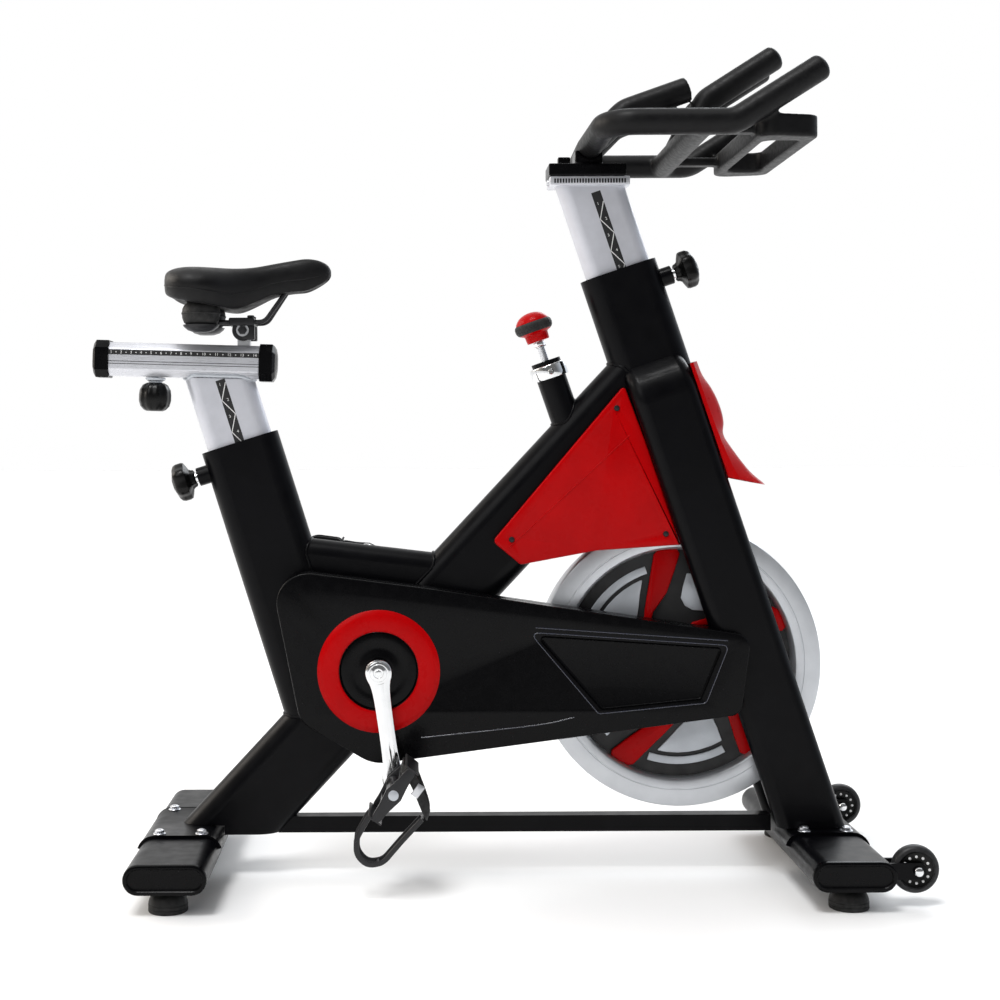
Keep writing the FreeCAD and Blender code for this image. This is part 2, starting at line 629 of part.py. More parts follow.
def pedals():
    """Cage pedals with a wire toe cage, each free to turn on its spindle."""
    clear = 7.05
    for name, side in (("right", -1), ("left", 1)):
        point = pedal_point(side)
        inner = N["crank_out"] + N["crank_thick"] + 3
        middle = side * (inner + 45)
        # how far the toe end is turned up from straight ahead: both pedals hang with the cage below
        pitch = 233 if side < 0 else 165
        tilt = Rotation(Vector(0, 1, 0), -pitch)
        place = Placement(Vector(point.x, middle, point.z), tilt)
        parts = [Part.makeCylinder(12, 90, Vector(0, -45, 0), Vector(0, 1, 0))]
        for y in (-45, 38):
            parts.append(Part.makeBox(92, 7, 18, Vector(-46, y, -9)))
        for x in (-48, 44):
            parts.append(Part.makeBox(4, 90, 20, Vector(x, -45, -10)))
        for x in (-24, 21):
            parts.append(Part.makeBox(3, 90, 14, Vector(x, -45, -7)))
        body_shape = parts[0].multiFuse(parts[1:]).removeSplitter()
        body_shape = body_shape.cut(Part.makeCylinder(clear, 94, Vector(0, -47, 0), Vector(0, 1, 0)))
        cage = toe_cage()
        made = Part.makeCompound([body_shape, cage])
        piece = shaped("pedal_" + name, made)
        piece.Placement = place
        node(piece)


def toe_cage():
    """A bent strip over the toe and back to the pedal's front edge, 3 mm thick, bolted to the pedal."""
    path = [(10, 62), (56, 57), (98, 54), (116, 36), (112, 12), (90, -4), (48, -9), (48, 6)]
    strip = Part.Face(bent_strip([Vector(x, 0, z) for x, z in path], 3)).extrude(Vector(0, 44, 0))
    strip.translate(Vector(0, -22, 0))
    return strip


def drive_belt():
    """The flat belt round both pulleys, as the band between two closed outlines."""
    gap = N["belt_gap"]
    inside = belt_outline(N["big_pulley"] + gap, N["small_pulley"] + gap)
    outside = belt_outline(N["big_pulley"] + gap + N["belt_thick"], N["small_pulley"] + gap + N["belt_thick"])
    wide = Vector(0, N["belt_width"] - 1, 0)
    band = Part.Face(outside).extrude(wide).cut(Part.Face(inside).extrude(wide))
    band.translate(Vector(0, -N["belt_out"] - N["belt_width"] / 2 + 0.5, 0))
    node(shaped("drive_belt", band))


def belt_outline(big, small):
    """Closed wire in the plane Y = 0 around the two axles at the two radii."""
    way = AXLE - CRANK
    tilt = math.atan2(way.z, way.x)
    lean = math.acos((big - small) / way.Length)

    def on(centre, radius, angle):
        return centre + Vector(math.cos(angle), 0, math.sin(angle)) * radius

    up, low = tilt + lean, tilt - lean
    edges = [Part.Arc(on(CRANK, big, up), on(CRANK, big, tilt + math.pi), on(CRANK, big, low)).toShape(),
             Part.LineSegment(on(CRANK, big, low), on(AXLE, small, low)).toShape(),
             Part.Arc(on(AXLE, small, low), on(AXLE, small, tilt), on(AXLE, small, up)).toShape(),
             Part.LineSegment(on(AXLE, small, up), on(CRANK, big, up)).toShape()]
    return Part.Wire(edges)


# ---------------------------------------------------------------- guard and covers
def rounded_outline(points, y=0.0):
    """Closed wire in a plane across the bike's side: corners are X, Z and the radius there."""
    corners = [(Vector(x, y, z), radius) for x, z, radius in points]
    edges = []
    arcs = []
    count = len(corners)
    for i, (corner, radius) in enumerate(corners):
        back = (corners[i - 1][0] - corner).normalize()
        on = (corners[(i + 1) % count][0] - corner).normalize()
        half = back.getAngle(on) / 2
        start = corner + back * (radius / math.tan(half))
        end = corner + on * (radius / math.tan(half))
        centre = corner + (back + on).normalize() * (radius / math.sin(half))
        middle = centre + (corner - centre).normalize() * radius
        arcs.append((start, middle, end))
    for i, (start, middle, end) in enumerate(arcs):
        edges.append(Part.Arc(start, middle, end).toShape())
        edges.append(Part.LineSegment(end, arcs[(i + 1) % count][0]).toShape())
    return Part.Wire(edges)


def pan(points, wall, near, far):
    """A shallow pan: its floor is at Y = near, and its side wall runs to Y = far."""
    outline = Part.Face(rounded_outline(points, near))
    inner = Part.Face(rounded_outline(points, near)).makeOffset2D(-wall)
    step = wall if far > near else -wall
    solid = outline.extrude(Vector(0, far - near, 0))
    hollow = inner.extrude(Vector(0, far - near, 0))
    hollow.translate(Vector(0, step, 0))
    return solid.cut(hollow)


def oval_room(width, thick, margin, place, length):
    """A flat-oval space that runs up along Z from its placement, with a margin all round."""
    half = thick / 2 + margin
    straight = (width - thick) / 2
    front = [Vector(straight, -half, 0), Vector(straight + half, 0, 0), Vector(straight, half, 0)]
    back = [Vector(-straight, half, 0), Vector(-straight - half, 0, 0), Vector(-straight, -half, 0)]
    edges = [Part.Arc(*front).toShape(), Part.LineSegment(front[2], back[0]).toShape(),
             Part.Arc(*back).toShape(), Part.LineSegment(back[2], front[0]).toShape()]
    solid = Part.Face(Part.Wire(edges)).extrude(Vector(0, 0, length))
    solid.Placement = place
    return solid


def leg_room(side, margin):
    """The space that a fork leg takes."""
    leg_y = (N["head_tube_thick"] + N["leg_thick"]) / 2
    start = HEAD_RIM - HEAD_UP * LEG_ROOM_LOW + Vector(0, side * leg_y, 0)
    return oval_room(N["leg_width"], N["leg_thick"], margin, along(start, N["head_lean"]), LEG_ROOM_LONG)


def head_room(margin):
    """The space that the head tube takes, and the bend of the fork below it."""
    long = N["head_tube_length"]
    place = along(HEAD_RIM - HEAD_UP * long, N["head_lean"])
    return oval_room(N["head_tube_width"], N["head_tube_thick"], margin, place, long)


GUARD = [(-357, 497, 48), (-100, 463, 300), (398, 388, 24), (381, 264, 20), (-195, 189, 60), (-309, 256, 40)]


def belt_guard():
    """Two half shells round the drive, split in the middle, and the red ring round the crank."""
    wall = N["guard_wall"]
    leg = leg_room(-1, N["guard_gap"])
    axle_hole = Part.makeCylinder(N["shell_outer"] / 2 + 2, 60, CRANK + Vector(0, -70, 0), Vector(0, 1, 0))
    hub_hole = Part.makeCylinder(27, 60, AXLE + Vector(0, -60, 0), Vector(0, 1, 0))
    inner = pan(GUARD, wall, -N["guard_inner"], -N["guard_split"])
    inner = inner.cut(leg).cut(axle_hole).cut(hub_hole)
    inner = largest(inner)
    node(shaped("belt_guard_inner", inner))

    outer = pan(GUARD, wall, -N["guard_outer"], -N["guard_split"] - 0.2)
    window = Part.makeCylinder(N["ring_inner"] - 2, 60, CRANK + Vector(0, -120, 0), Vector(0, 1, 0))
    panel = [(64, 388, 4), (350, 368, 4), (317, 290, 4), (163, 275, 4)]
    recess = Part.Face(rounded_outline(panel, -N["guard_outer"] - 1)).extrude(Vector(0, 2.2, 0))
    outer = largest(outer.cut(leg).cut(window).cut(recess))
    node(shaped("belt_guard_outer", outer))

    ring_place = Placement(CRANK + Vector(0, -N["guard_outer"], 0), Rotation(Vector(1, 0, 0), 90))
    node(turned("guard_ring", [(S["ring_inner"], 2), (S["ring_inner"] + 4, 4), (S["ring_outer"] - 6, 4),
                               (S["ring_outer"], 1), (S["ring_outer"], 0), (S["ring_inner"], 0)], ring_place))


def largest(shape):
    """The biggest solid of a shape, without the slivers that a trim can leave."""
    return max(shape.Solids, key=lambda solid: solid.Volume)


COVER = [(206, 781, 4), (300, 528, 5), (160, 519, 60), (40, 497, 8), (-4, 534, 8)]


def covers():
    """The red side covers above the flywheel and the red shield in front of the fork."""
    for name, side in (("left", 1), ("right", -1)):
        made = pan(COVER, N["cover_wall"], side * N["cover_out"], side * N["cover_in"])
        holes = []
        for x, z in ((194, 745), (26, 537), (271, 545)):
            holes.append(Part.makeCylinder(3, 60, Vector(x, side * 75, z), Vector(0, -side, 0)))
        made = made.cut(leg_room(side, N["cover_gap"]))
        for hole in holes:
            made = made.cut(hole)
        node(shaped("side_cover_" + name, largest(made)))

    shell = shield_shell().cut(head_room(N["cover_gap"]))
    for side in (1, -1):
        shell = shell.cut(leg_room(side, N["cover_gap"]))
    node(shaped("front_shield", largest(shell)))


def leg_front(z):
    """How far forward the front edge of a fork leg is at one height."""
    lean = math.radians(N["head_lean"])
    axis = N["head_rim_fore"] + (N["head_rim_up"] - z) * math.tan(lean)
    return axis + N["leg_width"] / 2 / math.cos(lean)


# height, how far forward the middle is, and how far the side edges stand in front of the legs
SHIELD = [(815, 325, 6), (795, 334, 6), (772, 352, 6), (745, 364, 6), (723, 368, 7), (704, 367, 8),
          (686, 378, 9), (649, 410, 14), (635, 436, 20)]
SHIELD_FLAT = 27
SHIELD_END_DROP = 0.2


def shield_shell():
    """A shell with a proud middle and side walls that reach back to the fork legs."""
    half, wall = N["shield_half"], N["shield_wall"]
    wires = []
    for z, middle, stand in SHIELD:
        back = leg_front(z)
        side = back + stand
        drop = SHIELD_END_DROP if z == SHIELD[-1][0] else 0
        outer = [(back, half), (side, half), (middle, SHIELD_FLAT)]
        inner = [(middle - wall, SHIELD_FLAT), (side - wall, half - wall), (back, half - wall)]
        left = inner + outer
        outline = left + [(x, -y) for x, y in reversed(left)]
        corners = [Vector(x, y, z - drop * (x - back)) for x, y in outline]
        wires.append(Part.makePolygon(corners + corners[:1]))
    return Part.makeLoft(wires, True, True)


def bent_strip(points, thick):
    """Closed wire of a strip that follows points, with its thickness on the left of their direction."""
    ways = [(after - before).normalize() for before, after in zip(points, points[1:])]
    ways = [ways[0]] + [(one + two).normalize() for one, two in zip(ways, ways[1:])] + [ways[-1]]
    inner = [point + Vector(way.z, 0, -way.x) * thick for point, way in zip(points, ways)]
    corners = points + inner[::-1]
    return Part.makePolygon(corners + corners[:1])


# ---------------------------------------------------------------- brake
def brake_pieces():
    """Knob, rod and felt pad. Pushed or turned down, the pad nears the top of the flywheel's rim."""
    lean = N["brake_lean"]
    rod_long = 278
    node(rod("brake_rod", S["brake_rod"] / 2, rod_long + 70, along(COLLAR - BRAKE_UP * rod_long, lean)))

    radius = N["flywheel_radius"] + N["pad_gap"]
    stock = Part.makeBox(64, 36, 46, Vector(-32, -18, -32))
    stock.Placement = along(COLLAR - BRAKE_UP * 282, lean)
    stock = stock.cut(Part.makeCylinder(radius, 60, AXLE + Vector(0, -30, 0), Vector(0, 1, 0)))
    bore = Part.makeCylinder(N["brake_rod"] / 2, rod_long, COLLAR - BRAKE_UP * rod_long, BRAKE_UP)
    node(shaped("brake_pad", largest(stock.cut(bore))))

    radius = S["knob_radius"]
    bore = S["brake_rod"] / 2 + 0.05
    points = [(bore, 45), (18.5, 45), (19, 57), (26, 60), (radius - 1, 64), (radius, 68), (radius, 73),
              (radius - 1, 76), (radius - 5, 82), (radius - 11, 89), (0, 94), (0, 70.3), (bore, 70.3)]
    node(turned("brake_knob", points, along(COLLAR, lean)))


# ---------------------------------------------------------------- posts and seat
def post_sleeves():
    """The plastic sleeves in the tops of the seat tube and head tube."""
    made = []
    pairs = (("seat", S["seat_tube_width"], S["seat_tube_thick"], SEAT_RIM, SEAT_UP, N["seat_lean"], -1),
             ("head", S["head_tube_width"], S["head_tube_thick"], HEAD_RIM, HEAD_UP, N["head_lean"], 1))
    for name, width, thick, rim, up, lean, forward in pairs:
        wall = S["frame_wall"]
        stock = flat_oval(name + "_sleeve_stock", width - wall * 2, thick - wall * 2, S["sleeve_long"],
                          along(rim - up * N["sleeve_long"], lean))
        clear = S["post_clear"] * 2
        hole = flat_oval(name + "_sleeve_hole", S["post_width"] + clear, S["post_thick"] + clear,
                         S["sleeve_long"], along(rim - up * N["sleeve_long"], lean))
        pin = rod(name + "_sleeve_pin", 8, 60, pin_place(rim - up * PIN_BELOW_RIM, lean, forward, 40))
        made.append(cut(name + "_sleeve", stock, [hole, pin]))
    node(group("post_sleeves", made))


SLOT_END = 24


def seat_pieces():
    """Seat post, slide tube with its caps, sliding carriage, lock knob and pull pin."""
    lean = N["seat_lean"]
    slide_lean = -(90 + N["slide_drop"])
    slide_middle = at(N["slide_back"], N["slide_up"])
    way = upward(slide_lean)
    start = slide_middle - way * (N["slide_long"] / 2)
    outside = octagon("slide_outside", S["slide_size"], S["slide_long"], along(start, slide_lean))
    stock = octagon("slide_stock", S["slide_size"], S["slide_long"], along(start, slide_lean))
    hollow = octagon("slide_hollow", S["slide_size"] - S["slide_wall"] * 2, S["slide_long"],
                     along(start, slide_lean))
    normal = Vector(-way.z, 0, way.x)
    slot_long = N["carriage_travel"] + 2 * SLOT_END
    slot_start = N["carriage_back"] + SLOT_END - slot_long - N["slide_back"]
    slot = block("slide_slot", (20, 24, slot_long),
                 Placement(slide_middle + way * slot_start + normal * 40 + Vector(0, -12, 0),
                           Rotation(Vector(0, 1, 0), -slide_lean)))
    screw_room = rod("slide_screw_room", 6.3, 40, knob_place(slide_middle, way, normal, -50))
    node(cut("seat_slide_tube", stock, [hollow, slot, screw_room]))

    post = flat_oval("seat_post_stock", S["post_width"], S["post_thick"], S["seat_post_in"] + 150,
                     along(SEAT_RIM - SEAT_UP * N["seat_post_in"], lean), wall=3)
    node(cut("seat_post", post, [outside, screw_box(slide_middle, way, normal)]))

    caps = []
    for name, point in (("rear", start - way * N["slide_cap"]), ("front", start + way * N["slide_long"])):
        caps.append(octagon(name + "_slide_cap", S["slide_cap_tall"], S["slide_cap"],
                            along(point, slide_lean)))
    node(group("slide_end_caps", caps))

    place = knob_place(slide_middle, way, normal, 0)
    points = [(0, -20.5), (0, -82), (14, -82), (22, -76), (26, -66), (26, -54), (21, -44), (14, -39),
              (14, -28), (5.9, -28), (5.9, -20.5)]
    node(turned("seat_lock_knob", list(reversed(points)), place))

    slider_size = S["slide_size"] - S["slide_wall"] * 2 - 0.8
    slider_start = slide_middle + way * (N["carriage_back"] - 36 - N["slide_back"])
    slider = octagon("slider_block", slider_size, 62, along(slider_start, slide_lean))
    trim = block("slider_under", (62, 60, 20), Placement(slider_start - normal * 39 + Vector(0, -30, 0),
                                                         Rotation(Vector(0, 1, 0), -slide_lean - 90)))
    stub = block("carriage_stub", (20, 22, 32), Placement(at(N["carriage_back"] - 10, 838, -11), Rotation()))
    barrel = rod("carriage_barrel", S["barrel_radius"], 58, across(N["carriage_back"], N["barrel_up"], -29))
    node(fuse("seat_carriage", [cut("slider_trimmed", slider, [trim]), stub, barrel]))


def screw_box(middle, way, normal):
    """Everything above the underside of the slide tube, to trim the post."""
    corner = middle - way * 300 - normal * (N["slide_size"] / 2) + Vector(0, -50, 0)
    return block("above_slide", (600, 100, 200),
                 Placement(corner, Rotation(way, Vector(0, 1, 0), normal, "XZY")))


def knob_place(middle, way, normal, out):
    """Placement square to the slide tube, whose Z points up through it where the lock knob is."""
    point = middle + way * (N["lock_knob_back"] - middle.x) + normal * out
    return Placement(point, Rotation(way, Vector(0, 1, 0), normal, "XZY"))


def octagon(label, size, length, place):
    """A bar of square section with cut corners, along its own Z."""
    half = size / 2
    corner = half - size * 0.2 if isinstance(size, Size) else size * 0.3
    points = [(half, -corner), (half, corner), (corner, half), (-corner, half), (-half, corner),
              (-half, -corner), (-corner, -half), (corner, -half)]
    return plate(label, points, length, place)


def saddle_pieces():
    """Clamp with rails, the two rear springs, the moulded shell and the pad."""
    middle = N["carriage_back"]
    clamp = Part.makeBox(46, 60, 33, Vector(middle - 25, -30, 860))
    barrel = Part.makeCylinder(N["barrel_radius"] + 0.05, 80, at(middle, N["barrel_up"], -40),
                               Vector(0, 1, 0))
    slot = Part.makeBox(34, 26, N["barrel_up"] - 850, Vector(middle - 17, -13, 850))
    pieces = [Part.makeBox(24, 120, 5, Vector(-482, -60, 876))]
    for side in (1, -1):
        path = [Vector(-470, side * 22, 888), Vector(-370, side * 22, 887), Vector(-345, side * 20, 900),
                Vector(-331, side * 12, 919)]
        pieces.append(bent_tube(path, 4, 12))
        pieces.append(Part.makeBox(14, 8, 11, Vector(-477, side * 22 - 4, 878)))
        ball = Part.makeSphere(27, Vector(-469.6, side * 38, 899))
        pieces.append(ball.common(Part.makeBox(80, 80, 31, Vector(-510, side * 38 - 40, 880.7))))
    bracket = clamp.cut(barrel).cut(slot).multiFuse(pieces).removeSplitter()
    node(shaped("saddle_bracket", bracket))

    low = N["saddle_base"]
    node(shaped("saddle_shell", saddle_loft(low, 9, 10).cut(bracket)))
    node(shaped("saddle_pad", saddle_loft(low + 10, 61.5, 6)))


def saddle_loft(low, tall, inset):
    """A pear-shaped slab: wide at the back and narrow at the nose, with its top edge drawn in."""
    back, nose = N["saddle_back"] + inset, N["saddle_nose"] - inset
    half = N["saddle_half"] - inset
    length = nose - back
    shares = ((0.0, 0.42), (0.04, 0.74), (0.16, 1.0), (0.34, 0.86), (0.52, 0.45), (0.72, 0.26), (0.92, 0.2),
              (1.0, 0.02))
    wires = []
    for height, scale in ((0, 0.93), (0.45, 1.0), (0.85, 0.95), (1.0, 0.86)):
        points = []
        middle = back + length * 0.45
        for along_share, width_share in shares:
            x = middle + (back + length * along_share - middle) * scale
            points.append(Vector(x, half * width_share * scale, low + tall * height))
        for along_share, width_share in reversed(shares):
            x = middle + (back + length * along_share - middle) * scale
            points.append(Vector(x, -half * width_share * scale, low + tall * height))
        curve = Part.BSplineCurve()
        curve.interpolate(points, PeriodicFlag=True)
        wires.append(Part.Wire([curve.toShape()]))
    return Part.makeLoft(wires, True, False)


def pull_pins():
    """Spring-loaded pull pins that lock the two posts, each in its welded boss."""
    for name, rim, up, lean, forward in (("rear", SEAT_RIM, SEAT_UP, N["seat_lean"], -1),
                                         ("front", HEAD_RIM, HEAD_UP, N["head_lean"], 1)):
        place = pin_place(rim - up * PIN_BELOW_RIM, lean, forward, 54.2)
        points = [(0, 0), (6.9, 0), (6.9, 27.5), (13, 27.5), (13, 36), (20, 40), (30, 44), (31, 50), (31, 58),
                  (26, 66), (0, 69)]
        node(turned(name + "_pull_pin", points, place))


# ---------------------------------------------------------------- handlebar
def bent_tube(points, radius, bend):
    """A round bar along straight runs joined by arcs of one bend radius, with domed ends."""
    edges = []
    start = points[0]
    for before, corner, after in zip(points, points[1:], points[2:]):
        back = (before - corner).normalize()
        on = (after - corner).normalize()
        half = back.getAngle(on) / 2
        cut_back = bend / math.tan(half)
        first, last = corner + back * cut_back, corner + on * cut_back
        centre = corner + (back + on).normalize() * (bend / math.sin(half))
        middle = centre + (corner - centre).normalize() * bend
        edges.append(Part.LineSegment(start, first).toShape())
        edges.append(Part.Arc(first, middle, last).toShape())
        start = last
    edges.append(Part.LineSegment(start, points[-1]).toShape())
    path = Part.Wire(edges)
    way = (points[1] - points[0]).normalize()
    section = Part.Wire([Part.Circle(points[0], way, radius).toShape()])
    return path.makePipeShell([section], True, False)


def handlebar_pieces():
    """Post, rail plate, sliding base and the dipped bars, which are one weldment."""
    lean = N["head_lean"]
    top = N["rail_up_top"]
    post = flat_oval("bar_post_stock", S["post_width"], S["post_thick"],
                     S["bar_post_in"] + S["bar_post_up"] + 40,
                     along(HEAD_RIM - HEAD_UP * N["bar_post_in"], lean), wall=3)
    trim = block("bar_post_trim", (400, 200, 200), Placement(at(0, top - 14, -100), Rotation()))
    node(cut("handlebar_post", post, [trim]))
    rail_back = 155 - N["rail_long"] / 2
    node(plate("handlebar_rail", [(rail_back, top - 14), (rail_back + S["rail_long"], top - 14),
                                  (rail_back + S["rail_long"], top), (rail_back, top)], 60, side_view(30)))
    rail_top = top + 0.3
    slider = Part.makeBox(124, 66, 20, Vector(155 - 66, -33, rail_top))
    stem_low = rail_top + 20
    stem = Part.makeBox(44, 50, 22, Vector(N["bar_rear"] - 24, -25, stem_low))
    lever_seat = Part.makeBox(20, 16, 14, Vector(106, -8, stem_low))
    base = slider.multiFuse([stem, lever_seat]).removeSplitter()
    radius, half, up = N["bar_radius"], N["bar_half"], N["bar_up"]
    rear, mid, front = N["bar_rear"], N["bar_mid"], N["bar_front"]
    parts = []
    for side in (1, -1):
        path = [Vector(rear, 0, up), Vector(rear + 6, side * half, up + 4), Vector(352, side * half, up + 4),
                Vector(482, side * half * 0.97, 1252)]
        parts.append(bent_tube(path, radius, 45))
    parts.append(Part.makeCylinder(radius - 0.5, 2 * half, Vector(mid, -half, up + 3), Vector(0, 1, 0)))
    room = parts[0].multiFuse(parts[1:])
    node(shaped("handlebar", room))
    node(shaped("handlebar_base", largest(base.cut(room))))

    prongs = []
    for side in (1, -1):
        aero = [Vector(mid, side * 48, up + 3), Vector(338, side * 46, 1232), Vector(447, side * 44, 1301)]
        prongs.append(bent_tube(aero, radius, 30).cut(room))
        grip = [Vector(rear + 4, side * 75, up), Vector(206, side * 66, 1212), Vector(306, side * 60, 1248)]
        prongs.append(bent_tube(grip, radius, 40).cut(room))
    node(group("aero_bars", [shaped("aero_bar_%d" % i, largest(made)) for i, made in enumerate(prongs)]))

    outline = Part.Face(rounded_flat([(front - 44, half), (front + 48, half - 20), (front + 48, 20 - half),
                                      (front - 44, -half)], 22, up - 16))
    window = Part.Face(rounded_flat([(front - 28, half - 55), (front + 28, half - 55),
                                     (front + 28, 55 - half), (front - 28, 55 - half)], 15, up - 17))
    slab = outline.extrude(Vector(0, 0, 34)).cut(window.extrude(Vector(0, 0, 36)))
    arms = [Part.makeBox(86, 24, 14, Vector(front - 124, side * (half - 52) - 12, up - 5))
            for side in (1, -1)]
    made = slab.multiFuse(arms).cut(room)
    node(shaped("handlebar_front_plate", largest(made)))


def rounded_flat(points, radius, z):
    """Closed wire at one height: corners are X and Y, all of one radius."""
    wire = rounded_outline([(x, y, radius) for x, y in points])
    turn = Placement(Vector(0, 0, z), Rotation(Vector(1, 0, 0), -90))
    wire.Placement = turn
    return wire


frame_tubes()
base_pieces()
feet()
transport_wheels()
flywheel_pieces()
bearings()
crank_pieces()
pedals()
drive_belt()
belt_guard()
covers()
brake_pieces()
post_sleeves()
seat_pieces()
saddle_pieces()
pull_pins()
handlebar_pieces()

# ---------------------------------------------------------------- check and export
doc.recompute()
for thing in doc.Objects:
    if "Invalid" in thing.State or "Error" in thing.State:
        raise RuntimeError("%s failed: %s" % (thing.Label, thing.State))
if len(nodes) > 60:
    raise RuntimeError("%d nodes are too many" % len(nodes))
bad = [made.Label for made in nodes
       if made.Shape.isNull() or not made.Shape.isValid() or not made.Shape.Solids]
if bad:
    raise RuntimeError("not valid solids: %s" % ", ".join(bad))
for made in nodes:
    made.Shape.exportStep("parts/%s.step" % made.Label)
    box = made.Shape.BoundBox
    print("%-24s %2d solids  X %7.1f %7.1f  Y %7.1f %7.1f  Z %7.1f %7.1f" % (
        made.Label, len(made.Shape.Solids), box.XMin, box.XMax, box.YMin, box.YMax, box.ZMin, box.ZMax))
print(len(nodes), "nodes")
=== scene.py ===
"""Looks for the indoor spin bike: shells, pads, knobs, bars, decals and materials round the CAD frame.

Lengths are millimetres in the bike's own frame: +X is forward, +Y is the rider's left, +Z is up. Shape
turns them into metres when a piece is finished.
"""

import json
import math

import bmesh
import bpy
from mathutils import Matrix, Vector
from mathutils.bvhtree import BVHTree


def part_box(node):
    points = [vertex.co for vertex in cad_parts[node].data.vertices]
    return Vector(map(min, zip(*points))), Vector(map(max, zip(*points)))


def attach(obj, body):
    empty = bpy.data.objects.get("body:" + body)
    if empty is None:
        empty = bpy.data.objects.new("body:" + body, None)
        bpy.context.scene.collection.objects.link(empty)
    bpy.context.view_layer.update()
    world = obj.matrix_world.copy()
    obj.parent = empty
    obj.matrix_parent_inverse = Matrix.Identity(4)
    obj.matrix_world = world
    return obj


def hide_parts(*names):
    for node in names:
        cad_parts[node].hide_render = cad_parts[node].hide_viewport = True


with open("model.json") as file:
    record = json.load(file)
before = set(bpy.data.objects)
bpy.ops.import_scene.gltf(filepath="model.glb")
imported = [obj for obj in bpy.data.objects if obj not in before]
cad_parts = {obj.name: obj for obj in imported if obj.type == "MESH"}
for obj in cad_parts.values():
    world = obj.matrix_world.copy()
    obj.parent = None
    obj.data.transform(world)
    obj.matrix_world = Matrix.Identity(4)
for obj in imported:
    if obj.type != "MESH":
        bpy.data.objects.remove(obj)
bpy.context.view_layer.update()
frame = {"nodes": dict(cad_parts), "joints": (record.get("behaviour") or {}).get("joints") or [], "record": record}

MM = 0.001
ROUND_STEPS = 64
JOINTS = {joint["name"]: joint for joint in frame["joints"]}


# ---------------------------------------------------------------- places
def at(x, z, y=0.0):
    return Vector((x, y, z))


def vectors(*rows):
    """One vector for each row of two or three numbers."""
    return [Vector(row) for row in rows]


def middle(node):
    low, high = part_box(node)
    return (low + high) / 2 / MM


def pivot(joint):
    return Vector(JOINTS[joint]["pos_m"]) / MM


def axis(joint):
    return Vector(JOINTS[joint]["axis"])


def place(point, up, fore=(1, 0, 0)):
    """A matrix whose Z is up, and whose X is as near to fore as it can be."""
    z = Vector(up).normalized()
    x = Vector(fore)
    x = (x - z * x.dot(z)).normalized()
    y = z.cross(x)
    made = Matrix((x, y, z)).transposed().to_4x4()
    made.translation = point
    return made


def outward(point, side):
    """X forward, Y up and Z away from the bike's middle, on the left for side 1 and the right for -1."""
    made = Matrix(((1, 0, 0), (0, 0, side), (0, 1, 0))).to_4x4()
    made.translation = point
    return made


HERE = Matrix.Identity(4)
CRANK = pivot("crank_spin")
AXLE = pivot("flywheel_spin")
SEAT_UP = axis("seat_height")
HEAD_UP = axis("bar_height")
BRAKE_UP = -axis("brake_push")
SLIDE_WAY = axis("seat_fore_aft")
BEAM_LEAN = math.radians(43.1)
BEAM_UP = Vector((math.sin(BEAM_LEAN), 0, math.cos(BEAM_LEAN)))
BEAM_MIDDLE = CRANK + Vector((BEAM_UP.z, 0, -BEAM_UP.x)) * 4.7
SEAT_RIM = at(-410, 694)
HEAD_RIM = at(202.5, 968.5)
SLIDE_MIDDLE = at(-497, 825)
LEG_WIDE, LEG_THICK = 104, 38
COLLAR = at(88.5, 812)
FRONT_FOOT = 513.0
FEET = (-497.0, FRONT_FOOT)
CAP_UP = 54.5


# ---------------------------------------------------------------- outlines and paths
def circle(radius, steps=16):
    return [Vector((radius * math.cos(math.tau * i / steps), radius * math.sin(math.tau * i / steps)))
            for i in range(steps)]


def obround(long, tall, steps=12):
    """A flat oval about the origin, long in X, anticlockwise."""
    radius = tall / 2
    straight = long / 2 - radius
    points = []
    for centre, start in ((straight, -90), (-straight, 90)):
        for i in range(steps + 1):
            turn = math.radians(start + 180 * i / steps)
            points.append(Vector((centre + radius * math.cos(turn), radius * math.sin(turn))))
    return points


def rounded(points, radius, steps=6, closed=True):
    """The points with each corner rounded. Radius is one number, or one for each point."""
    count = len(points)
    radii = radius if isinstance(radius, (list, tuple)) else [radius] * count
    made = []
    for i, corner in enumerate(points):
        if not closed and i in (0, count - 1):
            made.append(corner.copy())
            continue
        back = points[i - 1] - corner
        on = points[(i + 1) % count] - corner
        half = back.angle(on) / 2
        cut = min(radii[i] / math.tan(half), 0.48 * back.length, 0.48 * on.length)
        if cut < 0.01:
            made.append(corner.copy())
            continue
        start, end = corner + back.normalized() * cut, corner + on.normalized() * cut
        for step in range(steps + 1):
            t = step / steps
            made.append(start * (1 - t) ** 2 + corner * 2 * t * (1 - t) + end * t ** 2)
    return made


def level(outline, height, scale=1):
    """A flat outline, lifted to a height and scaled."""
    return [Vector((p.x * scale, p.y * scale, height)) for p in outline]


def mirrored(profile):
    """A lathe profile from its lower half, which ends at or below height 0."""
    upper = [(radius, -height) for radius, height in reversed(profile) if height]
    return profile + upper


def inset(outline, depth):
    """An anticlockwise flat outline, moved inwards."""
    count = len(outline)
    moved = []
    for i, point in enumerate(outline):
        back = (point - outline[i - 1]).normalized()
        on = (outline[(i + 1) % count] - point).normalized()
        on_square = Vector((-on.y, on.x))
        way = (Vector((-back.y, back.x)) + on_square).normalized()
        moved.append(point + way * depth / max(0.4, way.dot(on_square)))
    return moved


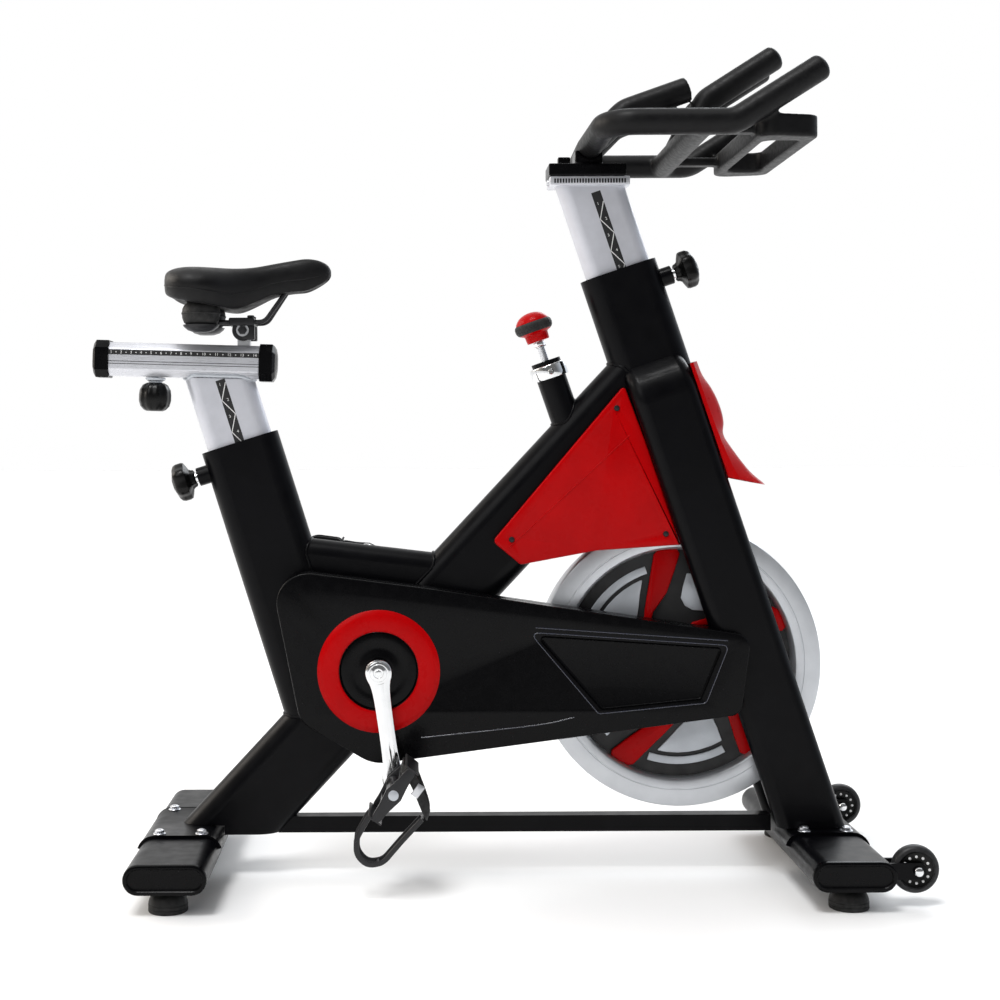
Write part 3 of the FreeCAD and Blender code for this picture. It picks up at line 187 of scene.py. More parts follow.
def smooth(points, steps=8, closed=False):
    """A Catmull-Rom curve through the points."""
    count = len(points)
    made = []
    for i in range(count if closed else count - 1):
        if closed:
            a, b, c, d = (points[(i + k) % count] for k in (-1, 0, 1, 2))
        else:
            b, c = points[i], points[i + 1]
            a = points[i - 1] if i else b * 2 - c
            d = points[i + 2] if i + 2 < count else c * 2 - b
        for step in range(steps):
            t = step / steps
            made.append(0.5 * (2 * b + (c - a) * t + (2 * a - 5 * b + 4 * c - d) * t ** 2
                               + (3 * b - a - 3 * c + d) * t ** 3))
    if not closed:
        made.append(points[-1].copy())
    return made


def mix(low, high, share):
    return low + (high - low) * share


# ---------------------------------------------------------------- shapes
class Shape:
    """A mesh in the making, in millimetres. Paint is the number of the material."""

    def __init__(self):
        self.bm = bmesh.new()

    def face(self, corners, paint):
        if len(set(corners)) < 3:
            return
        made = self.bm.faces.new(corners)
        made.material_index = paint

    def loft(self, rings, put=HERE, paint=0, caps=True, around=True, closed=False):
        """Faces between rings of equal count."""
        made = [[self.bm.verts.new(put @ point.to_3d()) for point in ring] for ring in rings]
        if closed:
            made.append(made[0])
        count = len(made[0])
        for low, high in zip(made, made[1:]):
            for i in range(count if around else count - 1):
                j = (i + 1) % count
                self.face((low[i], low[j], high[j], high[i]), paint)
        if caps and not closed:
            for ring, points in ((made[0][::-1], rings[0]), (made[-1], rings[-1])):
                if (points[0] - points[len(points) // 2]).length > 0.01:
                    self.face(ring, paint)
        return self

    def lathe(self, profile, put=HERE, paint=0, steps=ROUND_STEPS, closed=False, lobes=0, depth=0.0):
        """Turns (radius, height) pairs about Z. Lobes wave the radius by depth, as on a hand knob."""
        rings = []
        for radius, height in profile:
            ring = []
            for i in range(steps):
                turn = math.tau * i / steps
                wave = 1 + depth * math.cos(lobes * turn) if lobes else 1
                ring.append(Vector((radius * wave * math.cos(turn), radius * wave * math.sin(turn), height)))
            rings.append(ring)
        return self.loft(rings, put, paint, caps=not closed, closed=closed)

    def prism(self, outline, low, high, edge=0.0, put=HERE, paint=0, steps=3):
        """A flat shape of that outline with rounded edges."""
        rings = []
        turns = [math.pi / 2 * i / steps for i in range(steps + 1)] if edge else [math.pi / 2]
        for end, sign in ((low, 1), (high, -1)):
            levels = []
            for turn in turns:
                ring = inset(outline, edge * (1 - math.sin(turn)))
                height = end + sign * edge * (1 - math.cos(turn))
                levels.append(level(ring, height))
            rings += levels if sign > 0 else levels[::-1]
        return self.loft(rings, put, paint)

    def sweep(self, path, section, put=HERE, paint=0, up=(0, 0, 1), size=None, closed=False):
        """Carries a flat section along a path. Size gives its scale at each share of the path."""
        rings = []
        side = None
        count = len(path)
        for i, point in enumerate(path):
            before = path[i - 1] if i or closed else point
            after = path[(i + 1) % count] if i + 1 < count or closed else point
            way = (after - before).normalized()
            across = way.cross(Vector(up)) if side is None else side - way * side.dot(way)
            side = across.normalized()
            top = side.cross(way)
            scale = size(i / (count - 1)) if size else 1
            rings.append([point + (side * s.x + top * s.y) * scale for s in section])
        return self.loft(rings, put, paint, closed=closed)

    def box(self, low, high, edge=1.0, put=HERE, paint=0):
        x0, y0, z0 = low
        x1, y1, z1 = high
        outline = vectors((x0, y0), (x1, y0), (x1, y1), (x0, y1))
        return self.prism(rounded(outline, edge, 4), z0, z1, edge * 0.9, put, paint)

    def hexagon(self, across, low, high, put=HERE, paint=0):
        """A nut or bolt head with its corners turned off."""
        corner = across / math.sqrt(3)
        outline = [Vector((corner * math.cos(math.pi * i / 3), corner * math.sin(math.pi * i / 3)))
                   for i in range(6)]
        return self.prism(rounded(outline, 0.8, 2), low, high, min(1.0, (high - low) / 4), put, paint)

    def mesh(self, source, put=HERE, paint=0):
        """Takes in a flat mesh, such as a numeral, already in millimetres."""
        made = [self.bm.verts.new(put @ v.co) for v in source.vertices]
        for polygon in source.polygons:
            self.face([made[i] for i in polygon.vertices], paint)
        return self

    def solid(self, node):
        """Takes in the CAD mesh of a node."""
        source = frame["nodes"][node].data
        made = [self.bm.verts.new(v.co / MM) for v in source.vertices]
        for polygon in source.polygons:
            self.face([made[i] for i in polygon.vertices], 0)
        return self

    def finish(self, name, body, materials, turn=35, replaces=(), rounds=0):
        bmesh.ops.remove_doubles(self.bm, verts=self.bm.verts, dist=0.002)
        bmesh.ops.recalc_face_normals(self.bm, faces=self.bm.faces)
        bmesh.ops.scale(self.bm, vec=(MM, MM, MM), verts=self.bm.verts)
        return settle(self.bm, name, body, materials, turn, replaces, rounds)


def settle(bm, name, body, materials, turn=35, replaces=(), rounds=0):
    """Makes the finished object from a bmesh that is in metres."""
    mesh = bpy.data.meshes.new(name)
    bm.to_mesh(mesh)
    bm.free()
    for material in materials if isinstance(materials, (list, tuple)) else [materials]:
        mesh.materials.append(material)
    piece = bpy.data.objects.new(name, mesh)
    bpy.context.scene.collection.objects.link(piece)
    if rounds:
        modifier = piece.modifiers.new("rounds", "SUBSURF")
        modifier.levels = modifier.render_levels = rounds
        bake(piece)
    piece.data.polygons.foreach_set("use_smooth", [True] * len(piece.data.polygons))
    piece.data.set_sharp_from_angle(angle=math.radians(turn))
    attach(piece, body)
    if replaces:
        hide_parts(*replaces)
    return piece


def bake(piece):
    """Applies a piece's modifiers to its mesh."""
    graph = bpy.context.evaluated_depsgraph_get()
    made = bpy.data.meshes.new_from_object(piece.evaluated_get(graph), depsgraph=graph)
    old = piece.data
    piece.modifiers.clear()
    piece.data = made
    bpy.data.meshes.remove(old)


def soften(node, body, materials, width, turn=35, corner=28, segments=3):
    """The CAD piece again, with its sharp edges rounded."""
    bm = bmesh.new()
    bm.from_mesh(frame["nodes"][node].data)
    bmesh.ops.remove_doubles(bm, verts=bm.verts, dist=0.02 * MM)
    bmesh.ops.dissolve_limit(bm, angle_limit=math.radians(1), verts=bm.verts, edges=bm.edges)
    sharp = [e for e in bm.edges if e.is_manifold and e.calc_face_angle(0) > math.radians(corner)]
    bmesh.ops.bevel(bm, geom=sharp, offset=width * MM, segments=segments, profile=0.5, affect="EDGES",
                    clamp_overlap=False)
    return settle(bm, node + "_shell", body, materials, turn, (node,))


def numeral(text, size):
    """A flat mesh of plain figures, centred, in millimetres."""
    curve = bpy.data.curves.new("numeral", "FONT")
    curve.body = text
    curve.size = size
    curve.align_x = "CENTER"
    curve.align_y = "CENTER"
    curve.resolution_u = 3
    carrier = bpy.data.objects.new("numeral", curve)
    bpy.context.scene.collection.objects.link(carrier)
    graph = bpy.context.evaluated_depsgraph_get()
    made = bpy.data.meshes.new_from_object(carrier.evaluated_get(graph), depsgraph=graph)
    bpy.data.objects.remove(carrier)
    bpy.data.curves.remove(curve)
    return made


# ---------------------------------------------------------------- materials
class Finish:
    """A procedural material: colours, roughness and bumps come from noise in the piece's own frame."""

    def __init__(self, name, colour, rough, metal=0.0, coat=0.0, specular=0.5):
        self.material = bpy.data.materials.new(name)
        self.material.use_nodes = True
        self.tree = self.material.node_tree
        self.shader = self.tree.nodes["Principled BSDF"]
        self.shader.inputs["Base Color"].default_value = (*colour, 1)
        self.shader.inputs["Roughness"].default_value = rough
        self.shader.inputs["Metallic"].default_value = metal
        self.shader.inputs["Coat Weight"].default_value = coat
        self.shader.inputs["Coat Roughness"].default_value = 0.04
        self.shader.inputs["Specular IOR Level"].default_value = specular
        self.point = self.add("ShaderNodeTexCoord").outputs["Object"]
        self.material.diffuse_color = (*colour, 1)

    def add(self, kind, **settings):
        made = self.tree.nodes.new(kind)
        for word, value in settings.items():
            setattr(made, word, value)
        return made

    def link(self, out, into):
        self.tree.links.new(out, into)

    def noise(self, size, detail=3.0, stretch=(1, 1, 1), lean=0.0):
        """Noise whose blots are about size millimetres, drawn out by stretch after leaning back."""
        mapping = self.add("ShaderNodeMapping")
        mapping.inputs["Rotation"].default_value = (0, math.radians(lean), 0)
        mapping.inputs["Scale"].default_value = [1 / s for s in stretch]
        self.link(self.point, mapping.inputs["Vector"])
        made = self.add("ShaderNodeTexNoise")
        made.inputs["Scale"].default_value = 1 / (size * MM)
        made.inputs["Detail"].default_value = detail
        self.link(mapping.outputs["Vector"], made.inputs["Vector"])
        return made.outputs["Fac"]

    def cells(self, size):
        made = self.add("ShaderNodeTexVoronoi")
        made.feature = "DISTANCE_TO_EDGE"
        made.inputs["Scale"].default_value = 1 / (size * MM)
        self.link(self.point, made.inputs["Vector"])
        return made.outputs["Distance"]

    def ramp(self, source, low, high, start=0.35, end=0.65):
        """Maps a source's middle range onto two numbers."""
        made = self.add("ShaderNodeMapRange")
        for word, value in (("From Min", start), ("From Max", end), ("To Min", low), ("To Max", high)):
            made.inputs[word].default_value = value
        self.link(source, made.inputs["Value"])
        return made.outputs["Result"]

    def tint(self, source, low, high, start=0.35, end=0.65):
        """Colours from low to high over a source."""
        made = self.add("ShaderNodeValToRGB")
        made.color_ramp.elements[0].position = start
        made.color_ramp.elements[0].color = (*low, 1)
        made.color_ramp.elements[1].position = end
        made.color_ramp.elements[1].color = (*high, 1)
        self.link(source, made.inputs["Fac"])
        self.link(made.outputs["Color"], self.shader.inputs["Base Color"])
        return self

    def roughness(self, source, low, high):
        self.link(self.ramp(source, low, high), self.shader.inputs["Roughness"])
        return self

    def bumps(self, *heights):
        """Each height is a source and its depth in millimetres."""
        last = None
        for source, depth in heights:
            made = self.add("ShaderNodeBump")
            made.inputs["Distance"].default_value = depth * MM
            self.link(source, made.inputs["Height"])
            if last:
                self.link(last, made.inputs["Normal"])
            last = made.outputs["Normal"]
        self.link(last, self.shader.inputs["Normal"])
        return self


def scaled(colour, share):
    return tuple(part * share for part in colour)


def painted_frame():
    made = Finish("painted_frame", (0.0012, 0.0012, 0.0018), 0.34, coat=0.02, specular=0.1)
    made.tint(made.noise(60), (0.001, 0.001, 0.0016), (0.0016, 0.0016, 0.0024))
    made.roughness(made.noise(25), 0.3, 0.38)
    return made.bumps((made.noise(2.6, 2), 0.012), (made.noise(0.7, 1), 0.002)).material


def moulded(name, colour, rough, grain=0.5, depth=0.01, coat=0.0, specular=0.4):
    """Injection-moulded plastic with a spark-eroded grain and slow sink marks."""
    made = Finish(name, colour, rough, coat=coat, specular=specular)
    made.tint(made.noise(60), scaled(colour, 0.94), scaled(colour, 1.05))
    made.roughness(made.noise(18), rough * 0.85, rough * 1.15)
    return made.bumps((made.noise(grain, 2), depth), (made.noise(60, 1), 0.05)).material


def metal(name, colour, rough, stretch=(1, 1, 1), lean=0.0, size=0.6, depth=0.006, metallic=1.0):
    """Bare or plated metal, brushed along the stretched way."""
    made = Finish(name, colour, rough, metal=metallic)
    made.tint(made.noise(22, 4), scaled(colour, 0.96), scaled(colour, 1.02))
    made.roughness(made.noise(size * 3, 4, stretch, lean), rough * 0.88, rough * 1.14)
    return made.bumps((made.noise(size, 3, stretch, lean), depth)).material


def rubber(name, colour=(0.012, 0.012, 0.012), rough=0.62, grain=0.8):
    made = Finish(name, colour, rough, specular=0.3)
    made.tint(made.noise(9, 5), scaled(colour, 0.7), scaled(colour, 1.7))
    made.roughness(made.noise(6, 4), rough * 0.85, min(1, rough * 1.2))
    return made.bumps((made.noise(grain, 3), 0.035)).material


def vinyl():
    """Pebbled cover of the saddle: cells with creases between them and a soft sheen."""
    made = Finish("saddle_vinyl", (0.0025, 0.0025, 0.003), 0.42, specular=0.2)
    made.tint(made.noise(30, 4), (0.002, 0.002, 0.0025), (0.0035, 0.0035, 0.004))
    made.roughness(made.noise(14, 4), 0.36, 0.5)
    made.shader.inputs["Sheen Weight"].default_value = 0.03
    cells = made.ramp(made.cells(1.5), 0, 1, 0.0, 0.22)
    return made.bumps((cells, 0.05), (made.noise(0.5, 2), 0.015)).material


def foam():
    """Dipped foam of the bars: a matt skin with fine pores."""
    made = Finish("grip_foam", (0.0025, 0.0025, 0.003), 0.46, specular=0.2)
    made.tint(made.noise(14, 5), (0.002, 0.002, 0.0025), (0.0035, 0.0035, 0.004))
    made.roughness(made.noise(7, 3), 0.42, 0.54)
    return made.bumps((made.noise(0.9, 4), 0.05), (made.noise(5, 2), 0.08)).material


def turned_rim():
    """Machined metal whose fine grooves run round the flywheel's axle."""
    made = Finish("turned_rim", (0.58, 0.6, 0.63), 0.34, metal=0.75)
    centre = made.add("ShaderNodeVectorMath", operation="SUBTRACT")
    centre.inputs[1].default_value = AXLE * MM
    made.link(made.point, centre.inputs[0])
    flat = made.add("ShaderNodeVectorMath", operation="MULTIPLY")
    flat.inputs[1].default_value = (1, 0, 1)
    made.link(centre.outputs["Vector"], flat.inputs[0])
    reach = made.add("ShaderNodeVectorMath", operation="LENGTH")
    made.link(flat.outputs["Vector"], reach.inputs[0])
    grooves = made.add("ShaderNodeTexNoise", noise_dimensions="1D")
    grooves.inputs["Scale"].default_value = 1 / (0.7 * MM)
    grooves.inputs["Detail"].default_value = 4
    made.link(reach.outputs["Value"], grooves.inputs["W"])
    made.tint(made.noise(30, 4), (0.57, 0.59, 0.62), (0.61, 0.63, 0.66))
    made.roughness(grooves.outputs["Fac"], 0.28, 0.42)
    return made.bumps((grooves.outputs["Fac"], 0.012)).material


def printed(name, colour):
    """Screen-printed ink: slightly uneven cover and a dry surface."""
    made = Finish(name, colour, 0.5)
    made.tint(made.noise(1.4, 4), scaled(colour, 0.8), colour)
    return made.bumps((made.noise(0.3, 2), 0.004)).material


FRAME = painted_frame()
ABS = moulded("black_plastic", (0.0012, 0.0012, 0.0016), 0.26, depth=0.006, coat=0.03, specular=0.1)
# Crease and panel line beads of the belt guard: their navy, lighter than the black plastic round them, is a
# painted highlight.
HIGHLIGHT_LINE_PLASTIC = moulded("highlight_line_plastic", (0.012, 0.015, 0.03), 0.22, depth=0.004, coat=0.8, specular=0.6)
KNOB = moulded("knob_plastic", (0.002, 0.002, 0.002), 0.3, grain=0.9, depth=0.015, specular=0.2)
SHELL = moulded("shell_plastic", (0.004, 0.004, 0.004), 0.6, grain=0.9, depth=0.02, specular=0.12)
RED = moulded("red_plastic", (0.42, 0.0, 0.001), 0.3, depth=0.004, coat=0.02, specular=0.08)
BLACK_METAL = metal("black_steel", (0.02, 0.02, 0.022), 0.38, size=0.9, metallic=0.6)
ZINC = metal("zinc_steel", (0.62, 0.63, 0.66), 0.32)
CHROME = metal("chrome", (0.78, 0.79, 0.8), 0.1, size=1.4, depth=0.003)
ALLOY = metal("cast_aluminium", (0.55, 0.56, 0.58), 0.36, size=1.1, depth=0.02)
POST = metal("post_aluminium", (0.6, 0.61, 0.66), 0.38, stretch=(1, 1, 30), lean=-17.9, size=0.5, depth=0.003,
             metallic=0.45)
SLIDE = metal("slide_aluminium", (0.62, 0.63, 0.67), 0.3, stretch=(30, 1, 1), size=0.5, depth=0.003,
              metallic=0.6)
RIM = turned_rim()
IRON = moulded("cast_iron", (0.013, 0.013, 0.014), 0.5, grain=1.2, depth=0.05)
RUBBER = rubber("rubber")
TYRE = rubber("wheel_tyre", (0.015, 0.015, 0.016), 0.42, 1.4)
FELT = rubber("felt", (0.1, 0.085, 0.065), 0.9, 0.6)
VINYL = vinyl()
FOAM = foam()
INK = printed("black_ink", (0.006, 0.006, 0.007))
WHITE = printed("white_ink", (0.8, 0.8, 0.8))
SILVER = metal("silver_inlay", (0.5, 0.53, 0.57), 0.4, size=8, depth=0.002, metallic=0.5)
PEDAL = metal("pedal_black", (0.018, 0.018, 0.02), 0.33, size=0.8, depth=0.01, metallic=0.4)

SLOTS = {"painted_frame": FRAME, "black_plastic": ABS, "red_plastic": RED, "zinc_steel": ZINC,
         "rubber": RUBBER, "cast_iron": IRON, "cast_aluminium": ALLOY, "chrome": CHROME,
         "pedal_black": PEDAL, "felt": FELT, "knob_plastic": KNOB, "anodised_aluminium": POST,
         "black_steel": BLACK_METAL, "saddle_vinyl": VINYL, "grip_foam": FOAM}


def cad_finishes():
    """Every CAD node takes the finish of its own slot in the record."""
    slots = {row["node"]: row["material_slot"] for row in frame["record"]["subparts"]}
    for name, piece in frame["nodes"].items():
        piece.data.materials.clear()
        piece.data.materials.append(SLOTS[slots[name]])
        piece.data.polygons.foreach_set("use_smooth", [True] * len(piece.data.polygons))
        piece.data.set_sharp_from_angle(angle=math.radians(32))
    frame["nodes"]["seat_slide_tube"].data.materials[0] = SLIDE
    frame["nodes"]["handlebar_rail"].data.materials[0] = SLIDE


cad_finishes()


# ---------------------------------------------------------------- frame details
def weld(name, body, material, section, put, host, radius=2.6):
    """A bead of weld where a tube of that section, running up its placement's Z, meets the host node."""
    source = frame["nodes"][host].data
    tree = BVHTree.FromPolygons([v.co / MM for v in source.vertices],
                                [tuple(p.vertices) for p in source.polygons])
    way = (put.to_3x3() @ Vector((0, 0, 1))).normalized()
    path = []
    for point in section:
        hit, _, _, _ = tree.ray_cast(put @ point.to_3d(), way)
        if hit is not None:
            path.append(hit)
    if len(path) < len(section):
        print("weld", name, "found", len(path), "of", len(section))
        return
    beads = len(path)
    ripple = [Vector((p.x, p.y)) for p in circle(1, 8)]
    shape = Shape()
    rings = []
    for i, point in enumerate(path):
        along_bead = (path[(i + 1) % beads] - path[i - 1]).normalized()
        side = along_bead.cross(way).normalized()
        top = side.cross(along_bead)
        size = radius * (1 + 0.14 * math.cos(math.pi * i))
        rings.append([point + (side * p.x + top * p.y) * size for p in ripple])
    shape.loft(rings, closed=True)
    shape.finish(name, body, material, turn=80)


WELD_GAP = 3.2


def finely(outline, gap):
    """The closed outline with points about gap apart."""
    made = []
    for i, point in enumerate(outline):
        on = outline[(i + 1) % len(outline)]
        steps = max(1, round((on - point).length / gap))
        made += [point.lerp(on, k / steps) for k in range(steps)]
    return made


def tube_outline(long, tall):
    return finely(obround(long, tall, 10), WELD_GAP)


def welds():
    beam, leg = tube_outline(126, 60), tube_outline(LEG_WIDE, LEG_THICK)
    top = tube_outline(100, 50)
    top_start = at(-250, 482)
    top_drop = math.radians(6.9)
    top_way = Vector((math.cos(top_drop), 0, -math.sin(top_drop)))
    leg_start = HEAD_RIM - HEAD_UP * 800
    seat = place(SEAT_RIM - SEAT_UP * 150, -SEAT_UP)
    frame_welds = [
        ("seat_tube", tube_outline(128, 58), seat, "main_beam"),
        ("top_tube_front", top, place(top_start, top_way), "main_beam"),
        ("top_tube_rear", top, place(top_start, -top_way), "seat_tube"),
        ("main_beam", beam, place(BEAM_MIDDLE + BEAM_UP * 380, BEAM_UP), "head_tube"),
        ("beam_foot", beam, place(BEAM_MIDDLE - BEAM_UP * 250, -BEAM_UP), "saddle_plates"),
        ("leg_foot_left", leg, place(leg_start + Vector((0, 50, 0)), -HEAD_UP), "saddle_plates"),
        ("leg_foot_right", leg, place(leg_start - Vector((0, 50, 0)), -HEAD_UP), "saddle_plates"),
    ]
    for name, section, put, host in frame_welds:
        weld("weld_" + name, "root", FRAME, section, put, host)
    weld("weld_brake_tube", "root", FRAME, finely(circle(24, 24), WELD_GAP),
         place(COLLAR, -BRAKE_UP), "main_beam", 2.2)
    weld("weld_slide", "seat_mast", SILVER, tube_outline(106, 41),
         place(SEAT_RIM + SEAT_UP * 40, SEAT_UP), "seat_slide_tube", 3.6)


def end_caps():
    """Moulded caps of the stabilisers, each with a raised lip round a sunk oval face."""
    shape = Shape()
    long, tall = 124, 45
    for x in (middle("rear_stabiliser").x, FRONT_FOOT):
        for side in (1, -1):
            put = outward(at(x, CAP_UP, side * 242), side)
            rings = []
            for inward, height in ((0, 0), (0, 5.5), (0.6, 7), (2.2, 8), (5.5, 8), (6.6, 7.2), (7.4, 5.6),
                                   (8.6, 5.2), (14, 5.2)):
                outline = obround(long - 2 * inward, tall - 2 * inward, 16)
                rings.append(level(outline, height))
            shape.loft(rings, put)
    shape.finish("stabiliser_end_caps_moulded", "root", ABS,
                 replaces=("stabiliser_end_caps",))


def base_fasteners():
    """Domed hexagon bolts on their washers, and the softened saddle plates."""
    plates = Shape()
    for x in FEET:
        section = []
        for reach in (22.8, 26.2):
            turns = [math.radians(a) for a in (18, 30, 45, 60, 75, 90)]
            arc = [Vector((39.5 + reach * math.cos(t), reach * math.sin(t))) for t in turns]
            row = arc + [Vector((-p.x, p.y)) for p in reversed(arc)]
            section += row if reach > 24 else row[::-1]
        section = section[len(section) // 2:] + section[:len(section) // 2]
        plates.prism(section[::-1], -95, 95, 1.0, outward(at(x, CAP_UP), -1))
    plates.finish("saddle_plates_bent", "root", FRAME, turn=40, replaces=("saddle_plates",))
    shape = Shape()
    top = 81.0
    for x in FEET:
        for fore in (-33, 33):
            for y in (-81, 81):
                put = place(at(x + fore, top, y), (0, 0, 1))
                shape.lathe([(0, 0), (10, 0), (10, 1), (9.5, 1.5), (0, 1.5)], put)
                shape.hexagon(13, 1.5, 6.5, put)
                shape.lathe([(0, 5.5), (5.6, 6.4), (4.6, 7.4), (2.5, 8), (0, 8)], put)
    shape.finish("plate_bolts_hex", "root", ZINC, replaces=("plate_bolts",))


def feet():
    """Ribbed rubber cups with a steel lock nut on each stud."""
    for row in ("rear", "front"):
        for side in ("left", "right"):
            node = "levelling_foot_%s_%s" % (row, side)
            centre = middle(node)
            put = place(Vector((centre.x, centre.y, 0)), (0, 0, 1))
            shape = Shape()
            profile = [(0, 0), (27.5, 0), (29, 0.8), (29.5, 2.4), (29.5, 5), (28.4, 5.8), (28.4, 7.2),
                       (29.5, 8), (29.5, 11), (28.4, 11.8), (28.4, 13.2), (29, 14), (27.5, 19), (25, 24),
                       (21, 27.5), (15, 29.4), (10, 30), (0, 30)]
            shape.lathe(profile, put)
            shape.hexagon(19, 30, 31.9, put, paint=1)
            shape.lathe([(0, 30), (6, 30), (6, 51.4), (5.4, 52), (0, 52)], put, paint=1)
            shape.finish("foot_cup_%s_%s" % (row, side), "foot_%s_%s" % (row, side), [RUBBER, ZINC],
                         replaces=(node,))


def transport_wheels():
    """Inline wheels: a round tyre, a hub with a ring of pale studs and a chrome cap each side."""
    for side_name in ("left", "right"):
        node = "transport_wheel_" + side_name
        put = place(pivot("wheel_%s_spin" % side_name), (0, 1, 0))
        shape = Shape()
        tyre = [(26, -8.5), (28.5, -10.6), (31.5, -10), (34, -7.6), (35.5, -4), (36, 0)]
        shape.lathe(mirrored(tyre), put, closed=True)
        hub = [(4, -12), (8.5, -12), (10, -11), (10.5, -8.6), (24.5, -8.6), (26, -9.4), (26.6, -8.5)]
        shape.lathe(mirrored(hub), put, paint=1, closed=True)
        studs = 12
        for i in range(studs):
            turn = math.tau * i / studs
            for face in (1, -1):
                spot = put @ Vector((19.5 * math.cos(turn), 19.5 * math.sin(turn), face * 8.2))
                shape.lathe([(0, 0), (2.1, 0), (2.1, 0.7), (1.5, 1.1), (0, 1.1)],
                            place(spot, Vector((0, face, 0))), paint=2, steps=16)
        shape.finish("wheel_tyre_" + side_name, "wheel_" + side_name, [TYRE, KNOB, WHITE],
                     replaces=(node,))
        caps = Shape()
        bracket_face = 21
        for face in (1, -1):
            spot = pivot("wheel_%s_spin" % side_name) + Vector((0, face * bracket_face, 0))
            caps.lathe([(0, 0), (6.8, 0), (7, 0.8), (6, 2.6), (3.5, 3.6), (0, 3.9)],
                       place(spot, (0, face, 0)))
        caps.finish("wheel_bolt_caps_" + side_name, "root", CHROME)


# ---------------------------------------------------------------- flywheel and drive
def arc_block(shape, inner, outer, start, end, low, high, put, paint, edge=0.5):
    """A flat sector of a ring between two angles in degrees."""
    steps = max(4, int((end - start) / 4))
    turns = [math.radians(mix(start, end, i / steps)) for i in range(steps + 1)]
    outline = [Vector((outer * math.cos(t), outer * math.sin(t))) for t in turns]
    outline += [Vector((inner * math.cos(t), inner * math.sin(t))) for t in reversed(turns)]
    shape.prism(outline, low, high, edge, put, paint)


SPOKES = 5
FIRST_SPOKE = 23
# Radius and angle past the tip's middle: up one edge of a swept spoke and down the other, then the silver
# field between two spokes.
SPOKE = ((38, 54), (70, 36), (90, 20.4), (114, 3.4), (149, -3.5), (176, -6.4), (183, -5), (183.5, 0),
         (183, 5), (178, 7.2), (150, 11.5), (115, 20.5), (98.6, 27.2), (70, 46), (38, 74))
INLAY = ((145, 17.5), (145, 24), (145, 31), (145, 38), (145, 45), (145, 53), (145, 60.6), (122, 62.5),
         (104, 63.6), (92, 59), (88, 50), (94, 39), (106, 31), (125, 23.5))


def polar(table):
    """Flat points from rows of radius and angle in degrees."""
    return [Vector((radius * math.cos(math.radians(turn)), radius * math.sin(math.radians(turn))))
            for radius, turn in table]


def flywheel():
    """Machined rim, dark web, five red spokes and the silver fields between them, alike on both sides."""
    shape = Shape()
    put = place(AXLE, (0, 1, 0))
    rim = [(182, -9), (185, -22), (187.5, -24.5), (189, -25), (199.4, -25), (200, -24.2), (201.6, -24.2),
           (202.2, -25), (224.5, -25), (227, -24), (228, -22)]
    shape.lathe(mirrored(rim), put, steps=160, closed=True)
    web = [(12, -26), (34, -26), (36, -25), (38, -22), (38, -9.6), (41, -9), (183, -9)]
    shape.lathe(mirrored(web), put, paint=1, steps=96, closed=True)
    shape.finish("flywheel_turned", "flywheel_body", [RIM, IRON], replaces=("flywheel",))
    step = 360 / SPOKES
    for side in (1, -1):
        name = "left" if side > 0 else "right"
        face = outward(AXLE, side)
        spokes = Shape()
        silver = Shape()
        for i in range(SPOKES):
            # the pattern is one for the wheel, so the two sides mirror each other through the web
            centre = FIRST_SPOKE + step * i
            turn = Matrix.Rotation(math.radians(centre), 4, "Z")
            spokes.prism(rounded(polar(SPOKE), 3, 4), 9, 15, 2.2, face @ turn)
            silver.prism(rounded(polar(INLAY), 2, 3), 9, 11, 0.8, face @ turn)
            arc_block(silver, 151, 163.5, centre + 13.4, centre + step - 13, 9, 11.5, face, 0, 0.8)
        spokes.finish("flywheel_spokes_" + name, "flywheel_body", RED)
        silver.finish("flywheel_inlays_" + name, "flywheel_body", SILVER)
    nuts = Shape()
    for side in (1, -1):
        face = outward(AXLE, side)
        nuts.lathe([(10.2, 69), (17, 69), (17.5, 69.6), (17.5, 71), (17, 71.5), (10.2, 71.5)], face,
                   closed=True)
        nuts.hexagon(26, 71.5, 80, face)
        nuts.lathe([(0, 69), (9, 69), (9, 82), (8, 83.5), (0, 83.5)], face)
    nuts.finish("axle_nuts", "root", ZINC)
    soften("axle_plates", "root", BLACK_METAL, 1.2)


def guard():
    """Glossy belt guard with its creases and panel lines, the red ring and the dark disc inside it. The lines are
    beads of a lighter, glossy navy plastic, and that navy is a painted highlight along them.
    """
    soften("belt_guard_outer", "root", ABS, 2.6, turn=40)
    soften("belt_guard_inner", "root", ABS, 1.0)
    face_y = -88
    lines = Shape()
    bead = circle(0.9, 8)
    crease = [at(-120, 231, face_y), at(0, 243, face_y), at(76, 252, face_y), at(120, 262, face_y)]
    lines.sweep(smooth(crease, 6), bead)
    panel = [at(50, 395, face_y), at(362, 373, face_y), at(326, 283, face_y), at(158, 267, face_y)]
    loop = rounded(panel, 8, 5)
    lines.sweep(loop + loop[:1], bead)
    top_line = [at(60, 402, face_y), at(360, 380.5, face_y)]
    lines.sweep(top_line, bead)
    rim_line = [at(62, 408.4, -86.6), at(200, 399.4, -86.6), at(366, 386.4, -86.6)]
    lines.sweep(rim_line, bead)
    # the beads take the lighter navy plastic, a painted highlight along the creases and panel lines
    lines.finish("guard_crease_lines", "root", HIGHLIGHT_LINE_PLASTIC, turn=80)
    face = outward(CRANK, -1)
    ring = Shape()
    ring.lathe([(62, 88), (62, 90.4), (63.2, 91.6), (65.5, 92), (86, 92), (89, 91.3), (95, 89.3), (96, 88.6),
                (96, 88)], face, steps=128, closed=True)
    ring.finish("guard_ring_chamfered", "root", RED, replaces=("guard_ring",), turn=50)
    disc = Shape()
    disc.lathe([(12, 80), (61.6, 80), (61.6, 84), (59, 85.2), (44, 85.2), (41, 84.4), (30, 84.4), (27, 86),
                (14, 86), (12, 85)], face, steps=96, closed=True)
    disc.finish("guard_inner_disc", "root", ABS)


